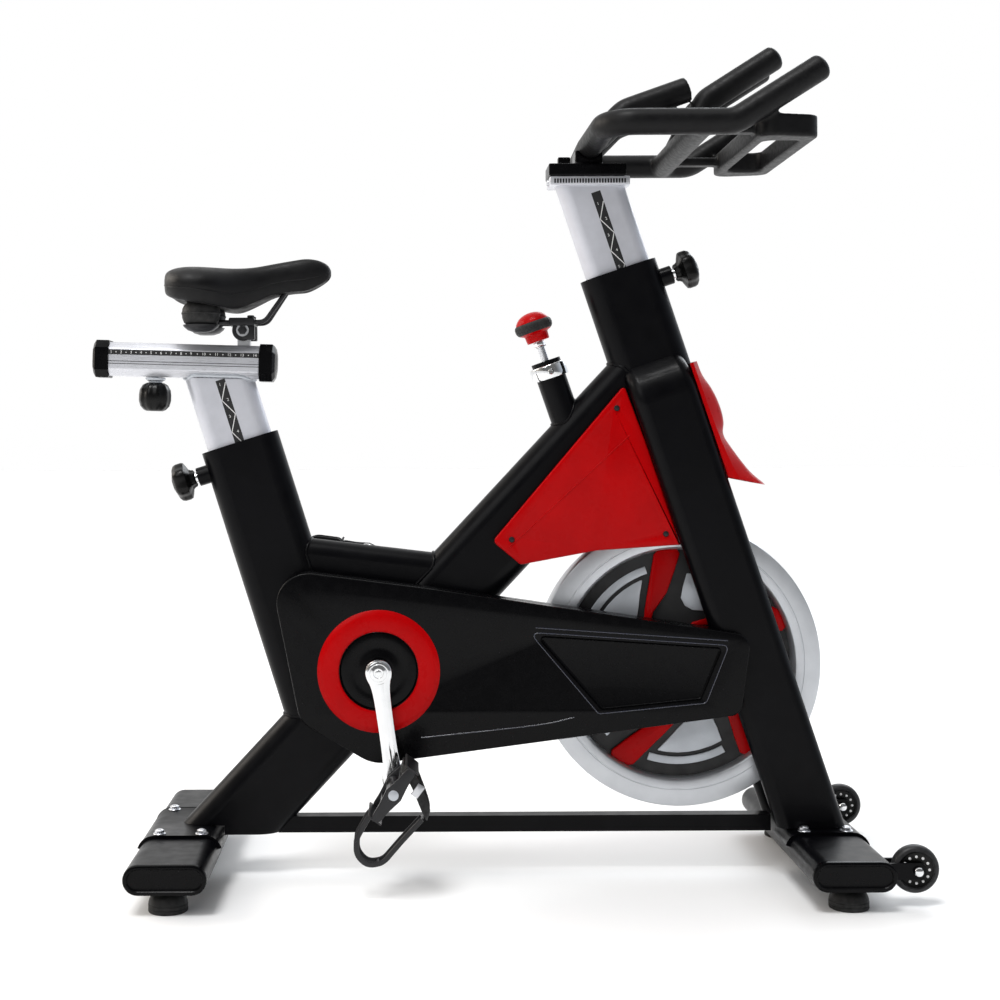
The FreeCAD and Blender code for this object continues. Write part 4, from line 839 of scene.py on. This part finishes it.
def covers():
    """Red covers over the flywheel with their screws and the crease of their raised field; the flared shield in
    front is made by shield().
    """
    for name, side in (("left", 1), ("right", -1)):
        soften("side_cover_" + name, "root", RED, 2.0, turn=45)
        face = outward(at(0, 0, side * 46.5), side)
        screws = Shape()
        for x, z in ((194, 745), (26, 537), (271, 545)):
            spot = face @ Matrix.Translation((x, z, 0))
            screws.lathe([(0, -3), (2.8, -3), (2.8, 0), (4.6, 0), (4.6, 0.8), (3.6, 2), (1.5, 2.4),
                          (0, 2.4)], spot, steps=24)
        screws.finish("cover_screws_" + name, "root", BLACK_METAL)
        field = Shape()
        crease = [at(20, 523, side * 46.3), at(110, 606, side * 46.3), at(214, 702, side * 46.3)]
        field.sweep(smooth(crease, 4), circle(1.1, 8))
        field.finish("cover_crease_" + name, "root", RED, turn=80)


def leg_front(z):
    lean = math.radians(18.4)
    return HEAD_RIM.x + (HEAD_RIM.z - z) * math.tan(lean) + LEG_WIDE / 2 / math.cos(lean)


# height, how far forward the middle is, and how far the side creases stand in front of the legs
SHIELD = ((815, 325, 5), (795, 334, 5.5), (772, 352, 6), (745, 364, 6), (723, 368.5, 7), (704, 367, 8),
          (686, 378, 9), (649, 410, 14), (635, 436, 20))


def shield():
    """The red shield: a round boss over the head tube that sweeps out into a wing over the wheel."""
    stations = [Vector((x, leg_front(z) + stand, z)) for z, x, stand in SHIELD]
    line = smooth(stations, 5)
    half = 60
    rings = []
    for i, (front, crease, z) in enumerate(line):
        share = i / (len(line) - 1)
        back = leg_front(z)
        tilt = mix(0.33, 0, min(1, share * 4)) - 0.2 * share ** 5
        curve = [(crease, half), (mix(crease, front, 0.4), 50), (mix(crease, front, 0.84), 36), (front, 14)]
        points = [Vector((x, y, 0)) for x, y in curve]
        points = smooth(points + [Vector((p.x, -p.y, 0)) for p in reversed(points)], 4)
        outer = [Vector((back, half, 0))] + points + [Vector((back, -half, 0))]
        inner = [Vector((back, half - 3, 0))] + [Vector((p.x - 3, p.y * 0.95, 0)) for p in points]
        inner.append(Vector((back, 3 - half, 0)))
        rings.append([Vector((p.x, p.y, z + tilt * (p.x - back))) for p in outer + inner[::-1]])
    made = Shape()
    made.loft(rings)
    made.finish("front_shield_moulded", "root", RED, turn=32, replaces=("front_shield",))


# ---------------------------------------------------------------- cranks and pedals
def pedal_pivot(side):
    return pivot("pedal_right_spin" if side < 0 else "pedal_left_spin")


def arm_place(side):
    """X from the axle to the pedal, Z outward, at the inner face of a crank arm."""
    pedal = pedal_pivot(side)
    way = (Vector((pedal.x, 0, pedal.z)) - Vector((CRANK.x, 0, CRANK.z))).normalized()
    return place(Vector((CRANK.x, side * 94, CRANK.z)), (0, side, 0), way)


def crank_arms():
    """Forged arms: round eyes, a waisted shank and a raised rib that tapers to a point."""
    for name, side in (("right", -1), ("left", 1)):
        put = arm_place(side)
        shape = Shape()
        stations = ((-20.6, 3), (-19, 9), (-14, 15.6), (-7, 19.6), (0, 20.8), (9, 19.4), (20, 15.6),
                    (40, 13.4), (80, 12.6), (120, 12.8), (145, 14), (158, 16.6), (170, 17.6), (180, 14.8),
                    (186, 8.6), (188, 3))
        line = smooth([Vector((x, w, 0)) for x, w in stations], 3)
        rings = []
        for point in line:
            w = point.y
            corners = vectors((-w, 0), (w, 0), (w, 12), (w * 0.6, 15), (-w * 0.6, 15), (-w, 12))
            section = rounded(corners, min(2.5, w / 3), 3)
            rings.append([Vector((point.x, p.x, p.y)) for p in section])
        shape.loft(rings, put)
        rib_line = [Vector((x, 0, 14.4)) for x in (16, 40, 70, 100, 130, 152)]
        half_widths = (7.5, 8.5, 7.4, 5.6, 3.4, 0.6)
        ribs = []
        for point, w in zip(rib_line, half_widths):
            ribs.append([point + Vector((0, -w, 0)), point + Vector((0, -w * 0.3, 1.4)),
                         point + Vector((0, w * 0.3, 1.4)), point + Vector((0, w, 0))])
        shape.loft(ribs, put)
        eye = put @ Matrix.Translation((0, 0, 14))
        shape.lathe([(10.5, 0), (17.5, 0), (17.5, 2), (16.5, 2.6), (12, 2.6), (10.5, 2)], eye, closed=True)
        shape.finish("crank_arm_forged_" + name, "crank_set", CHROME, turn=38,
                     replaces=("crank_arm_" + name,))
        bolt = Shape()
        cap = put @ Matrix.Translation((0, 0, 12.2))
        bolt.lathe([(0, 0), (14, 0), (14, 3.6), (13, 5), (8, 5.8), (7.4, 5.2), (7.4, 4), (0, 4)], cap)
        bolt.hexagon(9, 3.9, 5.4, cap)
        bolt.finish("crank_bolt_" + name, "crank_set", CHROME)


def pedal_frame(side):
    """X towards the toe, Z up through the toe cage and Y across the bike, in the middle of the pedal."""
    centre = pedal_pivot(side)
    centre.y = side * 158
    pitch = 233 if side < 0 else 165
    made = Matrix.Rotation(math.radians(-pitch), 4, "Y")
    made.translation = centre
    return made


def pedal_core(name, put):
    """A ribbed core between two toothed side plates."""
    core = Shape()
    spine = put @ place(Vector((0, 0, 0)), (0, 1, 0))
    core.lathe(mirrored([(7.05, -45), (11.6, -45), (12.4, -43), (12.4, -24), (10, -20)]), spine, closed=True,
               steps=40)
    outline = vectors((-46, -7), (-24, -9), (0, -13.5), (24, -9), (46, -7), (46, 7), (24, 9), (0, 13.5),
                      (-24, 9), (-46, 7))
    for y in (-41.5, 41.5):
        core.prism(rounded(outline, 5, 4), -3.4, 3.4, 1.0, put @ outward(Vector((0, y, 0)), 1))
    for x in (-23, 23):
        core.box((x - 1.6, -40, -6.5), (x + 1.6, 40, 6.5), 1.0, put)
    teeth = 11
    half_row = 45
    pitch = 2 * half_row / teeth
    outline = vectors((-half_row, 0))
    for i in range(teeth):
        start = mix(-half_row, half_row, i / teeth)
        outline += vectors((start + pitch * 0.08, -9), (start + pitch * 0.4, -12),
                           (start + pitch * 0.6, -12), (start + pitch * 0.92, -9))
    outline += vectors((half_row, 0))
    for x, out in ((-46.5, -1), (46.5, 1)):
        for up in (1, -1):
            wall = Matrix(((0, 0, out, x), (1, 0, 0, 0), (0, -up, 0, 0), (0, 0, 0, 1)))
            core.prism(outline, -1.4, 1.4, 0.0, put @ wall)
    core.finish("pedal_cage_" + name, "pedal_%s_body" % name, PEDAL,
                replaces=("pedal_" + name,))


def toe_cage(name, put):
    """Two bent rails that draw together over the toe, with three bars across."""
    toe = Shape()
    path = vectors((49.6, 0, 6), (49.6, 0, -7.5), (90, 0, -2.5), (110.5, 0, 12), (114.5, 0, 36),
                   (97, 0, 52.6), (56, 0, 55.5), (10, 0, 60.5))
    line = rounded(path, [0, 5, 26, 26, 26, 26, 40, 0], 6, closed=False)
    for y in (-17, 17):
        rail = [p + Vector((0, y * toe_share(p), 0)) for p in line]
        toe.sweep(rail, obround(8.5, 3, 4), put, up=(0, 1, 0.001))
    for spot in (line[len(line) // 3], line[len(line) * 2 // 3], line[-1]):
        half = Vector((0, 17 * toe_share(spot) + 2, 0))
        toe.sweep([spot - half, spot + half], obround(7, 2.6, 4), put, up=(0, 0, 1))
    toe.finish("toe_cage_" + name, "pedal_%s_body" % name, PEDAL)


def toe_share(point):
    """How wide the toe cage is at that height, as a share of its width at the pedal."""
    return mix(1.0, 0.62, min(1, max(0, point.z) / 60))


def toe_strap(name, side, put):
    """A flat strap round the pedal and over the cage, with its buckle on the outer side."""
    strap = Shape()
    loop = vectors((-2, -16, 63), (-10, -26, 52), (-24, -33, 30), (-35, -37.4, 10), (-37, -30, -9.5),
                   (-37, 0, -11), (-37, 30, -9.5), (-35, 37.4, 10), (-24, 33, 30), (-10, 26, 52),
                   (-2, 16, 63), (0, 0, 65))
    corners = ((-7, -0.8), (7, -0.8), (7, 0.8), (-7, 0.8))
    rings = []
    curve = smooth(loop, 5, closed=True)
    for i, point in enumerate(curve):
        way = (curve[(i + 1) % len(curve)] - curve[i - 1]).normalized()
        wide = Vector((1, 0, 0.35))
        wide = (wide - way * wide.dot(way)).normalized()
        thick = way.cross(wide)
        rings.append([point + wide * u + thick * v for u, v in corners])
    strap.loft(rings, put, closed=True)
    buckle = put @ Matrix.Translation((-26, side * 36, 26)) @ Matrix.Rotation(math.radians(90), 4, "X")
    strap.box((-10, -6, -2.2), (10, 6, 2.2), 1.0, buckle, paint=1)
    strap.finish("toe_strap_" + name, "pedal_%s_body" % name, [RUBBER, ZINC])


def pedals():
    """Two-sided cage pedals, each with a bent toe cage, its strap and the spindle's cap."""
    for name, side in (("right", -1), ("left", 1)):
        put = pedal_frame(side)
        pedal_core(name, put)
        toe_cage(name, put)
        toe_strap(name, side, put)
        cap = Shape()
        end = pedal_pivot(side)
        end.y = side * 200
        cap.lathe([(0, 0), (9, 0), (9, 1.6), (7.5, 3.4), (3, 4.4), (0, 4.6)], place(end, (0, side, 0)),
                  steps=32)
        cap.finish("spindle_cap_" + name, "crank_set", SILVER)


# ---------------------------------------------------------------- brake
def brake():
    """Chrome collar with its screw, nut on the rod, and the red and black resistance knob."""
    put = place(COLLAR, BRAKE_UP)
    collar = Shape()
    collar.lathe([(24.4, -18), (29, -18), (29.6, -17), (29.6, 2), (29, 3.2), (27.6, 4), (13, 4), (12, 3),
                  (12, -2), (24.4, -2)], put, closed=True)
    screw = put @ Matrix.Translation((0, -29.2, -8)) @ Matrix.Rotation(math.radians(90), 4, "X")
    collar.lathe([(0, 0), (4.6, 0), (4.6, 2.2), (3.8, 3), (2.4, 3), (2.2, 1.6), (0, 1.6)], screw, steps=24)
    collar.finish("brake_collar", "root", CHROME)
    nut = Shape()
    nut.hexagon(17, 37, 44, put)
    nut.lathe([(6.1, 34.5), (10.5, 34.5), (11, 35), (11, 36.5), (10.5, 37), (6.1, 37)], put, closed=True,
              steps=40)
    nut.finish("brake_rod_nut", "brake_plunger", CHROME)
    knob = Shape()
    knob.lathe([(6.3, 45), (17.6, 45), (18.4, 45.8), (18.9, 51), (19.2, 56.6), (20.4, 58), (25.4, 60),
                (26.6, 61), (26.6, 64), (6.3, 64)], put, closed=True, steps=96)
    knob.lathe([(22, 60.4), (26.6, 61), (28.8, 63), (30.4, 66), (31, 69.5), (30.8, 73), (29.6, 76),
                (27.8, 77.6), (22, 78)], put, paint=1, closed=True, steps=120, lobes=30, depth=0.004)
    knob.lathe([(0, 76), (26.6, 76.4), (27.4, 77.2), (27.2, 78.6), (25.6, 81.6), (22.4, 85.4), (18.4, 88.6),
                (14.4, 90.6), (9, 92.4), (4, 93.2), (0, 93.4)], put, steps=96)
    knob.finish("brake_knob_moulded", "brake_knob_body", [RED, RUBBER],
                replaces=("brake_knob",), turn=40)
    soften("brake_pad", "brake_plunger", FELT, 1.5)


# ---------------------------------------------------------------- posts, slide and knobs
ZIGZAG = 26.6
INK_THICK = 0.16
INK_TOP = 0.26


def figure(strip, number, x, y, face, side):
    """A small printed number on a face, the right way round on either side of the bike."""
    spot = face @ Matrix.Translation((x, y, 0.27))
    if side > 0:
        spot = spot @ Matrix.Scale(-1, 4, (1, 0, 0))
    strip.mesh(numeral(str(number), 6.5), spot, paint=1)


def post_scale(name, body, rim, up, low, high, shift, first, count, side):
    """Printed strip on a post's flat face: a black field, a white zigzag and a plain number in each field."""
    along = rim + up * low
    face = Matrix(((up.z, up.x, 0), (0, 0, side), (-up.x, up.z, 0))).to_4x4()
    face.translation = along + Vector((up.z, 0, -up.x)) * shift + Vector((0, side * 21, 0))
    long = high - low
    half = 7.7
    strip = Shape()
    outline = vectors((-half, 0), (half, 0), (half, long), (-half, long))
    strip.prism(outline, 0, INK_THICK, 0, face)
    zigzag = []
    for i in range(count + 1):
        x = (half - 0.6) * (-1 if i % 2 else 1)
        zigzag.append(Vector((x, long - first - ZIGZAG * i, 0)))
    for i, (one, two) in enumerate(zip(zigzag, zigzag[1:]), start=1):
        way = (two - one).normalized()
        square = Vector((-way.y, way.x, 0)) * 0.65
        outline = [one - square, two - square, two + square, one + square]
        strip.prism([p.to_2d() for p in outline], INK_THICK, INK_TOP, 0, face, paint=1)
        figure(strip, i, -one.x * 0.35, one.y - 1.5, face, side)
    strip.finish(name, body, [INK, WHITE])


def posts():
    for side, word in ((-1, "right"), (1, "left")):
        post_scale("seat_post_scale_" + word, "seat_mast", SEAT_RIM, SEAT_UP, -110, 104, 2, 6, 7, side)
        post_scale("bar_post_scale_" + word, "bar_mast", HEAD_RIM, HEAD_UP, -110, 130, 3.5, 18, 8, side)


def slide():
    """Octagonal slide tube, its end caps and the printed scale, with two raised black ink strips under it that are
    a painted shade for a double groove.
    """
    soften("seat_slide_tube", "seat_mast", SLIDE, 1.2, turn=30)
    slide_caps()
    normal = Vector((-SLIDE_WAY.z, 0, SLIDE_WAY.x))
    if normal.z < 0:
        normal = -normal
    fore = SLIDE_WAY if SLIDE_WAY.x > 0 else -SLIDE_WAY
    for side, word in ((-1, "right"), (1, "left")):
        face = Matrix(((fore.x, normal.x, 0), (0, 0, side), (fore.z, normal.z, 0))).to_4x4()
        face.translation = SLIDE_MIDDLE + Vector((0, side * 27, 0))
        strip = Shape()
        half = 121
        outline = vectors((-half, 7), (half, 7), (half, 14.6), (-half, 14.6))
        strip.prism(outline, 0, INK_THICK, 0, face)
        count, singles = 14, 9
        for i in range(count):
            # figures of two digits stand further apart
            x = -half + 5 + 16 * min(i, singles - 1) + 20.4 * max(0, i - singles + 1)
            gap = 8 if i < singles - 1 else 10.2
            if i < count - 1:
                dot = [Vector((x + gap + p.x, 10.8 + p.y)) for p in circle(0.9, 12)]
                strip.prism(dot, INK_THICK, INK_TOP, 0, face, paint=1)
            figure(strip, i + 1, x, 10.8, face, side)
        # two black ink strips: painted shade where a double groove runs
        for y in (-4, -8):
            groove_shade_ink = vectors((-half, y), (half, y), (half, y + 0.9), (-half, y + 0.9))
            strip.prism(groove_shade_ink, 0, 0.3, 0, face)
        strip.finish("slide_scale_" + word, "seat_mast", [INK, WHITE])


def slide_caps():
    """Eight-sided caps with a shallow dome of flat facets at the outer end."""
    shape = Shape()
    half, corner = 30, 18
    outline = vectors((half, -corner), (half, corner), (corner, half), (-corner, half), (-half, corner),
                      (-half, -corner), (-corner, -half), (corner, -half))
    levels = ((0, 0.97), (0.8, 1), (20, 1), (21, 0.98), (25, 0.78), (27.4, 0.45), (28, 0.1))
    for sign in (1, -1):
        put = place(SLIDE_MIDDLE + SLIDE_WAY * sign * 121, SLIDE_WAY * sign, (0, 1, 0))
        shape.loft([level(outline, height, scale) for height, scale in levels], put)
    shape.finish("slide_end_caps_faceted", "seat_mast", ABS, turn=18,
                 replaces=("slide_end_caps",))


def pin_frame(rim, up, forward):
    square = Vector((up.z, 0, -up.x)) * forward
    return place(rim - up * 34 + square * 54.2, square, up)


def hand_knobs():
    """Lobed pull-pin knobs on chrome shafts, and the faceted lock knob under the slide."""
    for name, rim, up, forward in (("rear", SEAT_RIM, SEAT_UP, -1), ("front", HEAD_RIM, HEAD_UP, 1)):
        put = pin_frame(rim, up, forward)
        shape = Shape()
        shape.lathe([(0, 0), (6.9, 0), (6.9, 20), (0, 20)], put, paint=1, steps=32)
        shape.hexagon(20, 12, 21, put, paint=1)
        shape.lathe([(0, 20.5), (8.4, 20.5), (9, 21.5), (9, 34), (0, 34)], put, paint=1, steps=40)
        shape.lathe([(0, 31), (11, 31), (13, 32.4), (14, 36), (16, 39), (22, 41.5), (28, 44.5), (29.2, 48),
                     (29.2, 57), (27.6, 61.5), (23, 65), (14, 67), (12, 68.4), (8, 69), (0, 69)], put,
                    steps=96, lobes=6, depth=0.055)
        shape.finish(name + "_pull_knob", name + "_pin_body", [KNOB, CHROME],
                     replaces=(name + "_pull_pin",), turn=42)
    put = place(pivot("seat_lock_turn"), -axis_up("seat_lock_turn"))
    shape = Shape()
    shape.lathe([(0, -30.5), (5.8, -30.5), (5.8, -22), (0, -22)], put, paint=1, steps=32)
    shape.lathe([(0, -23), (15.5, -23), (16.5, -21.6), (15.5, -19), (11, -17), (11, -13), (0, -13)], put,
                paint=1, steps=48)
    shape.lathe([(0, -14.5), (14, -14.5), (20, -11), (24.4, -3), (25.4, 5), (25.4, 14), (23, 23), (17.5, 29),
                 (13, 31), (0, 31)], put, steps=90, lobes=10, depth=0.028)
    shape.finish("seat_lock_knob_faceted", "seat_knob_body", [KNOB, SILVER],
                 replaces=("seat_lock_knob",), turn=42)


def axis_up(joint):
    """A joint's axis, pointing up."""
    way = axis(joint)
    return way if way.z > 0 else -way


# ---------------------------------------------------------------- saddle
# each station: place along the bike, half width, top, underside, and how far the rear lobes rise
SADDLE = ((-527, 16, 955, 944, 0), (-525, 40, 962, 935, 0), (-520, 60, 966, 928, 0.5),
          (-508, 76, 969.5, 922, 1.5), (-490, 87, 971, 918, 2.5), (-466, 90, 970.5, 914, 3),
          (-440, 83, 969.5, 909.5, 2.4), (-413, 64, 969.5, 906, 1.5), (-384, 44, 972.5, 915.5, 0.8),
          (-352, 33, 979, 930, 0.3), (-322, 28.5, 984.5, 935, 0), (-300, 26, 987.5, 937, 0),
          (-280, 21.5, 985, 946, 0), (-266, 14, 978, 955, 0), (-261, 5, 970, 962, 0))


def saddle_ring(x, half, top, low, lobe):
    """One cross-section of the padded cover, from the middle of the top round to the middle below."""
    tall = top - low
    right = vectors((x, 0, top), (x, half * 0.3, top + lobe * 0.8), (x, half * 0.6, top + lobe * 0.4),
                    (x, half * 0.86, top - tall * 0.14), (x, half, top - tall * 0.42),
                    (x, half * 0.97, top - tall * 0.74), (x, half * 0.86, low + tall * 0.02),
                    (x, half * 0.7, low), (x, half * 0.35, low + tall * 0.16), (x, 0, low + tall * 0.2))
    left = [Vector((p.x, -p.y, p.z)) for p in right[1:-1]]
    return right + left[::-1]


def saddle():
    """The moulded pad with its sewn edge, the shell under it, the rails, clamp and rear springs."""
    rings = [saddle_ring(*station) for station in SADDLE]
    across = [smooth(ring, 4, closed=True) for ring in rings]
    columns = [smooth([ring[i] for ring in across], 3) for i in range(len(across[0]))]
    pad = Shape()
    pad.loft([[column[k] for column in columns] for k in range(len(columns[0]))])
    cover = pad.finish("saddle_cover", "saddle", VINYL, turn=180, replaces=("saddle_pad",),
                       rounds=1)

    shell = Shape()
    plates = []
    for x, half, _, low, _ in SADDLE[1:-1]:
        tall = 5
        wide = half * 0.84
        plates.append([Vector((x, y, low + z)) for y, z in
                       ((0, tall + 4), (wide * 0.55, tall + 2.4), (wide, tall), (wide, 1), (wide * 0.6, -1.4),
                        (0, 0), (-wide * 0.6, -1.4), (-wide, 1), (-wide, tall), (-wide * 0.55, tall + 2.4))])
    shell.loft(plates)
    shell.finish("saddle_base_shell", "saddle", SHELL, turn=50, replaces=("saddle_shell",),
                 rounds=1)

    seam = Shape()
    for side in (1, -1):
        line = [Vector((x, side * half * 0.995, mix(top, low, 0.66)))
                for x, half, top, low, _ in SADDLE[1:-1]]
        seam.sweep(smooth(line, 4), circle(0.8, 6), up=(0, 0, 1))
    seam.finish("saddle_seam", "saddle", VINYL, turn=80)

    metalwork = Shape()
    clamp_x = -402
    for side in (1, -1):
        rail = vectors((-492, side * 24, 896), (-470, side * 22, 887), (-420, side * 22, 886),
                       (-367, side * 22, 886.5), (-333, side * 12, 936))
        metalwork.sweep(rounded(rail, 18, 6, closed=False), circle(3.6, 14))
        ear = place(Vector((clamp_x, side * 14, 873)), (0, side, 0))
        metalwork.lathe([(0, 0), (16.6, 0), (17, 0.6), (17, 12), (16, 13), (0, 13)], ear, steps=72, lobes=36,
                        depth=0.012)
        dish = place(Vector((-467, side * 38, 899)), (0, 0, 1))
        metalwork.lathe([(0, -30), (12, -29.6), (21, -26.6), (27, -21.6), (29, -18.4), (27.6, -18),
                         (0, -18)], dish)
        metalwork.hexagon(10, 893, 897.5, Matrix.Translation((clamp_x + 12, side * 15, 0)))
        low, high = sorted((side * 13, side * 28))
        metalwork.box((clamp_x, low, 858), (clamp_x + 19, high, 881), 2.0)
    metalwork.box((clamp_x - 22, -31, 880), (clamp_x + 19, 31, 893), 2.5)
    metalwork.box((-484, -40, 878), (-450, 40, 881.5), 1.2)
    metalwork.finish("saddle_rails_and_clamp", "saddle", BLACK_METAL, turn=40,
                     replaces=("saddle_bracket",))
    bolts = Shape()
    for side in (1, -1):
        put = place(Vector((clamp_x, side * 27, 873)), (0, side, 0))
        bolts.lathe([(0, 0), (8.6, 0), (8.6, 1.4), (0, 1.4)], put, steps=32)
        bolts.hexagon(13, 1.4, 6.4, put)
    bolts.finish("saddle_clamp_bolts", "saddle", BLACK_METAL)

    springs = Shape()
    for side in (1, -1):
        put = place(Vector((-467, side * 38, 899)), (0, 0, 1))
        springs.lathe([(0, -18), (23, -18), (27, -14.6), (29.6, -8), (30.4, 0), (29.6, 7), (26.6, 13),
                       (22, 17.4), (17, 20), (0, 20)], put)
        springs.lathe([(29.6, -2.4), (30.8, -1.6), (31.2, 0), (30.8, 1.6), (29.6, 2.4)], put, closed=True)
    springs.finish("saddle_elastomers", "saddle", RUBBER, turn=50)


# ---------------------------------------------------------------- handlebar
def ball(shape, centre, radius, way, flat=0.55):
    """A domed end for a bar, as part of the mesh that is joined and smoothed."""
    put = place(centre, way)
    steps = 10
    profile = [(0, -radius * flat)]
    for i in range(1, steps):
        turn = math.pi * i / steps - math.pi / 2
        profile.append((radius * math.cos(turn), radius * flat * math.sin(turn)))
    profile.append((0, radius * flat))
    shape.lathe(profile, put, steps=32)


def melt(node, body, material, voxel, rounds):
    """A node's own solid with every edge rounded off, as a thick casting has them."""
    dip(Shape().solid(node), node + "_cast", body, material, (node,), voxel, rounds)


def dip(shape, name, body, material, nodes, voxel, rounds):
    """Joins the solids in a mesh under one smooth skin."""
    bmesh.ops.remove_doubles(shape.bm, verts=shape.bm.verts, dist=0.02)
    bmesh.ops.scale(shape.bm, vec=(MM, MM, MM), verts=shape.bm.verts)
    mesh = bpy.data.meshes.new(name)
    shape.bm.to_mesh(mesh)
    shape.bm.free()
    piece = bpy.data.objects.new(name, mesh)
    bpy.context.scene.collection.objects.link(piece)
    voxels = piece.modifiers.new("voxels", "REMESH")
    voxels.mode = "VOXEL"
    voxels.voxel_size = voxel * MM
    softer = piece.modifiers.new("softer", "SMOOTH")
    softer.factor = 0.5
    softer.iterations = rounds
    bake(piece)
    piece.data.materials.clear()
    piece.data.materials.append(material)
    piece.data.polygons.foreach_set("use_smooth", [True] * len(piece.data.polygons))
    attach(piece, body)
    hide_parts(*nodes)


def handlebar():
    """The bars, grips and front plate dipped in one skin, so that their joints are softly filled."""
    nodes = ("handlebar", "aero_bars", "handlebar_front_plate")
    shape = Shape()
    for node in nodes:
        shape.solid(node)
    for side in (1, -1):
        ball(shape, Vector((481, side * 194, 1251)), 19.7, Vector((130, 0, 82)))
        ball(shape, Vector((446, side * 44, 1300)), 19.7, Vector((109, 0, 69)), 0.5)
    dip(shape, "handlebar_dipped", "bars", FOAM, nodes, 2.4, 9)
    melt("handlebar_base", "bars", ABS, 1.3, 7)


def bar_rail():
    """Plated rail of the handlebar slide, with its toothed edges and end bolts."""
    soften("handlebar_rail", "bar_mast", SLIDE, 1.2)
    teeth = Shape()
    low, high = (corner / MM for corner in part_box("handlebar_rail"))
    count = 26
    for side in (1, -1):
        for i in range(count):
            x = mix(low.x + 8, high.x - 8, i / (count - 1))
            y = side * 29.8
            teeth.box((x - 1.3, min(y, y + side), low.z + 3), (x + 1.3, max(y, y + side), high.z - 4), 0.3)
    teeth.finish("rail_teeth", "bar_mast", BLACK_METAL)
    bolts = Shape()
    for x, way in ((low.x, -1), (high.x, 1)):
        put = place(Vector((x, 0, (low.z + high.z) / 2)), (way, 0, 0), (0, 0, 1))
        bolts.lathe([(0, 0), (6, 0), (6, 1), (5, 2.6), (2.6, 3.2), (0, 3.2)], put, steps=32)
    bolts.finish("rail_end_bolts", "bar_mast", ZINC)


welds()
end_caps()
base_fasteners()
feet()
transport_wheels()
flywheel()
guard()
covers()
shield()
crank_arms()
pedals()
brake()
posts()
slide()
hand_knobs()
saddle()
handlebar()
bar_rail()


# ---------------------------------------------------------------- studio
def studio_material(name, colour, rough):
    made = Finish(name, colour, rough, specular=0.2)
    made.tint(made.noise(900, 2), scaled(colour, 0.985), colour)
    return made.bumps((made.noise(4, 2), 0.02)).material


def room():
    """A white room that is dim on the camera's side, warm behind the rider and cool in front."""
    world = bpy.data.worlds.new("pale_room")
    world.use_nodes = True
    tree = world.node_tree
    back = tree.nodes["Background"]
    way = tree.nodes.new("ShaderNodeTexCoord")
    parts = tree.nodes.new("ShaderNodeSeparateXYZ")
    tree.links.new(way.outputs["Generated"], parts.inputs["Vector"])
    depth = tree.nodes.new("ShaderNodeMapRange")
    dim, full = 0.16, 1.0
    for word, value in (("From Min", -0.7), ("From Max", 0.35), ("To Min", dim), ("To Max", full)):
        depth.inputs[word].default_value = value
    tree.links.new(parts.outputs["Y"], depth.inputs["Value"])
    tree.links.new(depth.outputs["Result"], back.inputs["Strength"])
    share = tree.nodes.new("ShaderNodeMapRange")
    share.inputs["From Min"].default_value = -1
    tree.links.new(parts.outputs["X"], share.inputs["Value"])
    hue = tree.nodes.new("ShaderNodeValToRGB")
    hue.color_ramp.elements[0].color = (1, 0.9, 0.78, 1)
    hue.color_ramp.elements[1].color = (0.8, 0.88, 1, 1)
    for spot in (0.28, 0.72):
        hue.color_ramp.elements.new(spot).color = (1, 1, 1, 1)
    tree.links.new(share.outputs["Result"], hue.inputs["Fac"])
    tree.links.new(hue.outputs["Color"], back.inputs["Color"])
    return world


def studio():
    """A plain pale floor, a pale room, a high soft sun and large soft lights."""
    bpy.ops.mesh.primitive_plane_add(size=60)
    floor = bpy.context.object
    floor.name = "studio_floor"
    floor.data.materials.append(studio_material("pale_floor", (0.9, 0.9, 0.9), 0.6))
    bpy.context.scene.world = room()
    bpy.context.scene.view_settings.view_transform = "Standard"
    lights = (("sun", "SUN", (-0.8, -1.2, 4.0), 20, 1.7, (1, 1, 1)),
              ("key", "AREA", (-2.2, -3.0, 3.2), 2.4, 45, (1, 1, 1)),
              ("back", "AREA", (-3.4, 0.8, 2.2), 2.0, 60, (1, 0.93, 0.85)),
              ("rim", "AREA", (1.8, 3.2, 3.0), 2.4, 60, (0.9, 0.95, 1)))
    target = Vector((0, 0, 0.6))
    for name, kind, spot, size, power, colour in lights:
        light = bpy.data.lights.new(name, kind)
        if kind == "SUN":
            light.angle = math.radians(size)
        else:
            light.size = size
        light.energy = power
        light.color = colour
        carrier = bpy.data.objects.new(name, light)
        bpy.context.scene.collection.objects.link(carrier)
        carrier.location = spot
        carrier.rotation_euler = (target - Vector(spot)).to_track_quat("-Z", "Y").to_euler()


def camera():
    """Level view from the rider's right, a little behind the middle of the bike."""
    made = bpy.data.cameras.new("camera")
    made.lens = 57.06
    made.sensor_width = 36
    made.shift_x = 0.092
    made.shift_y = -0.065
    carrier = bpy.data.objects.new("camera", made)
    bpy.context.scene.collection.objects.link(carrier)
    carrier.location = (-0.138, -2.564, 0.704)
    carrier.rotation_euler = (math.radians(90), math.radians(0.26), 0)
    bpy.context.scene.camera = carrier


studio()
camera()

bpy.context.view_layer.update()
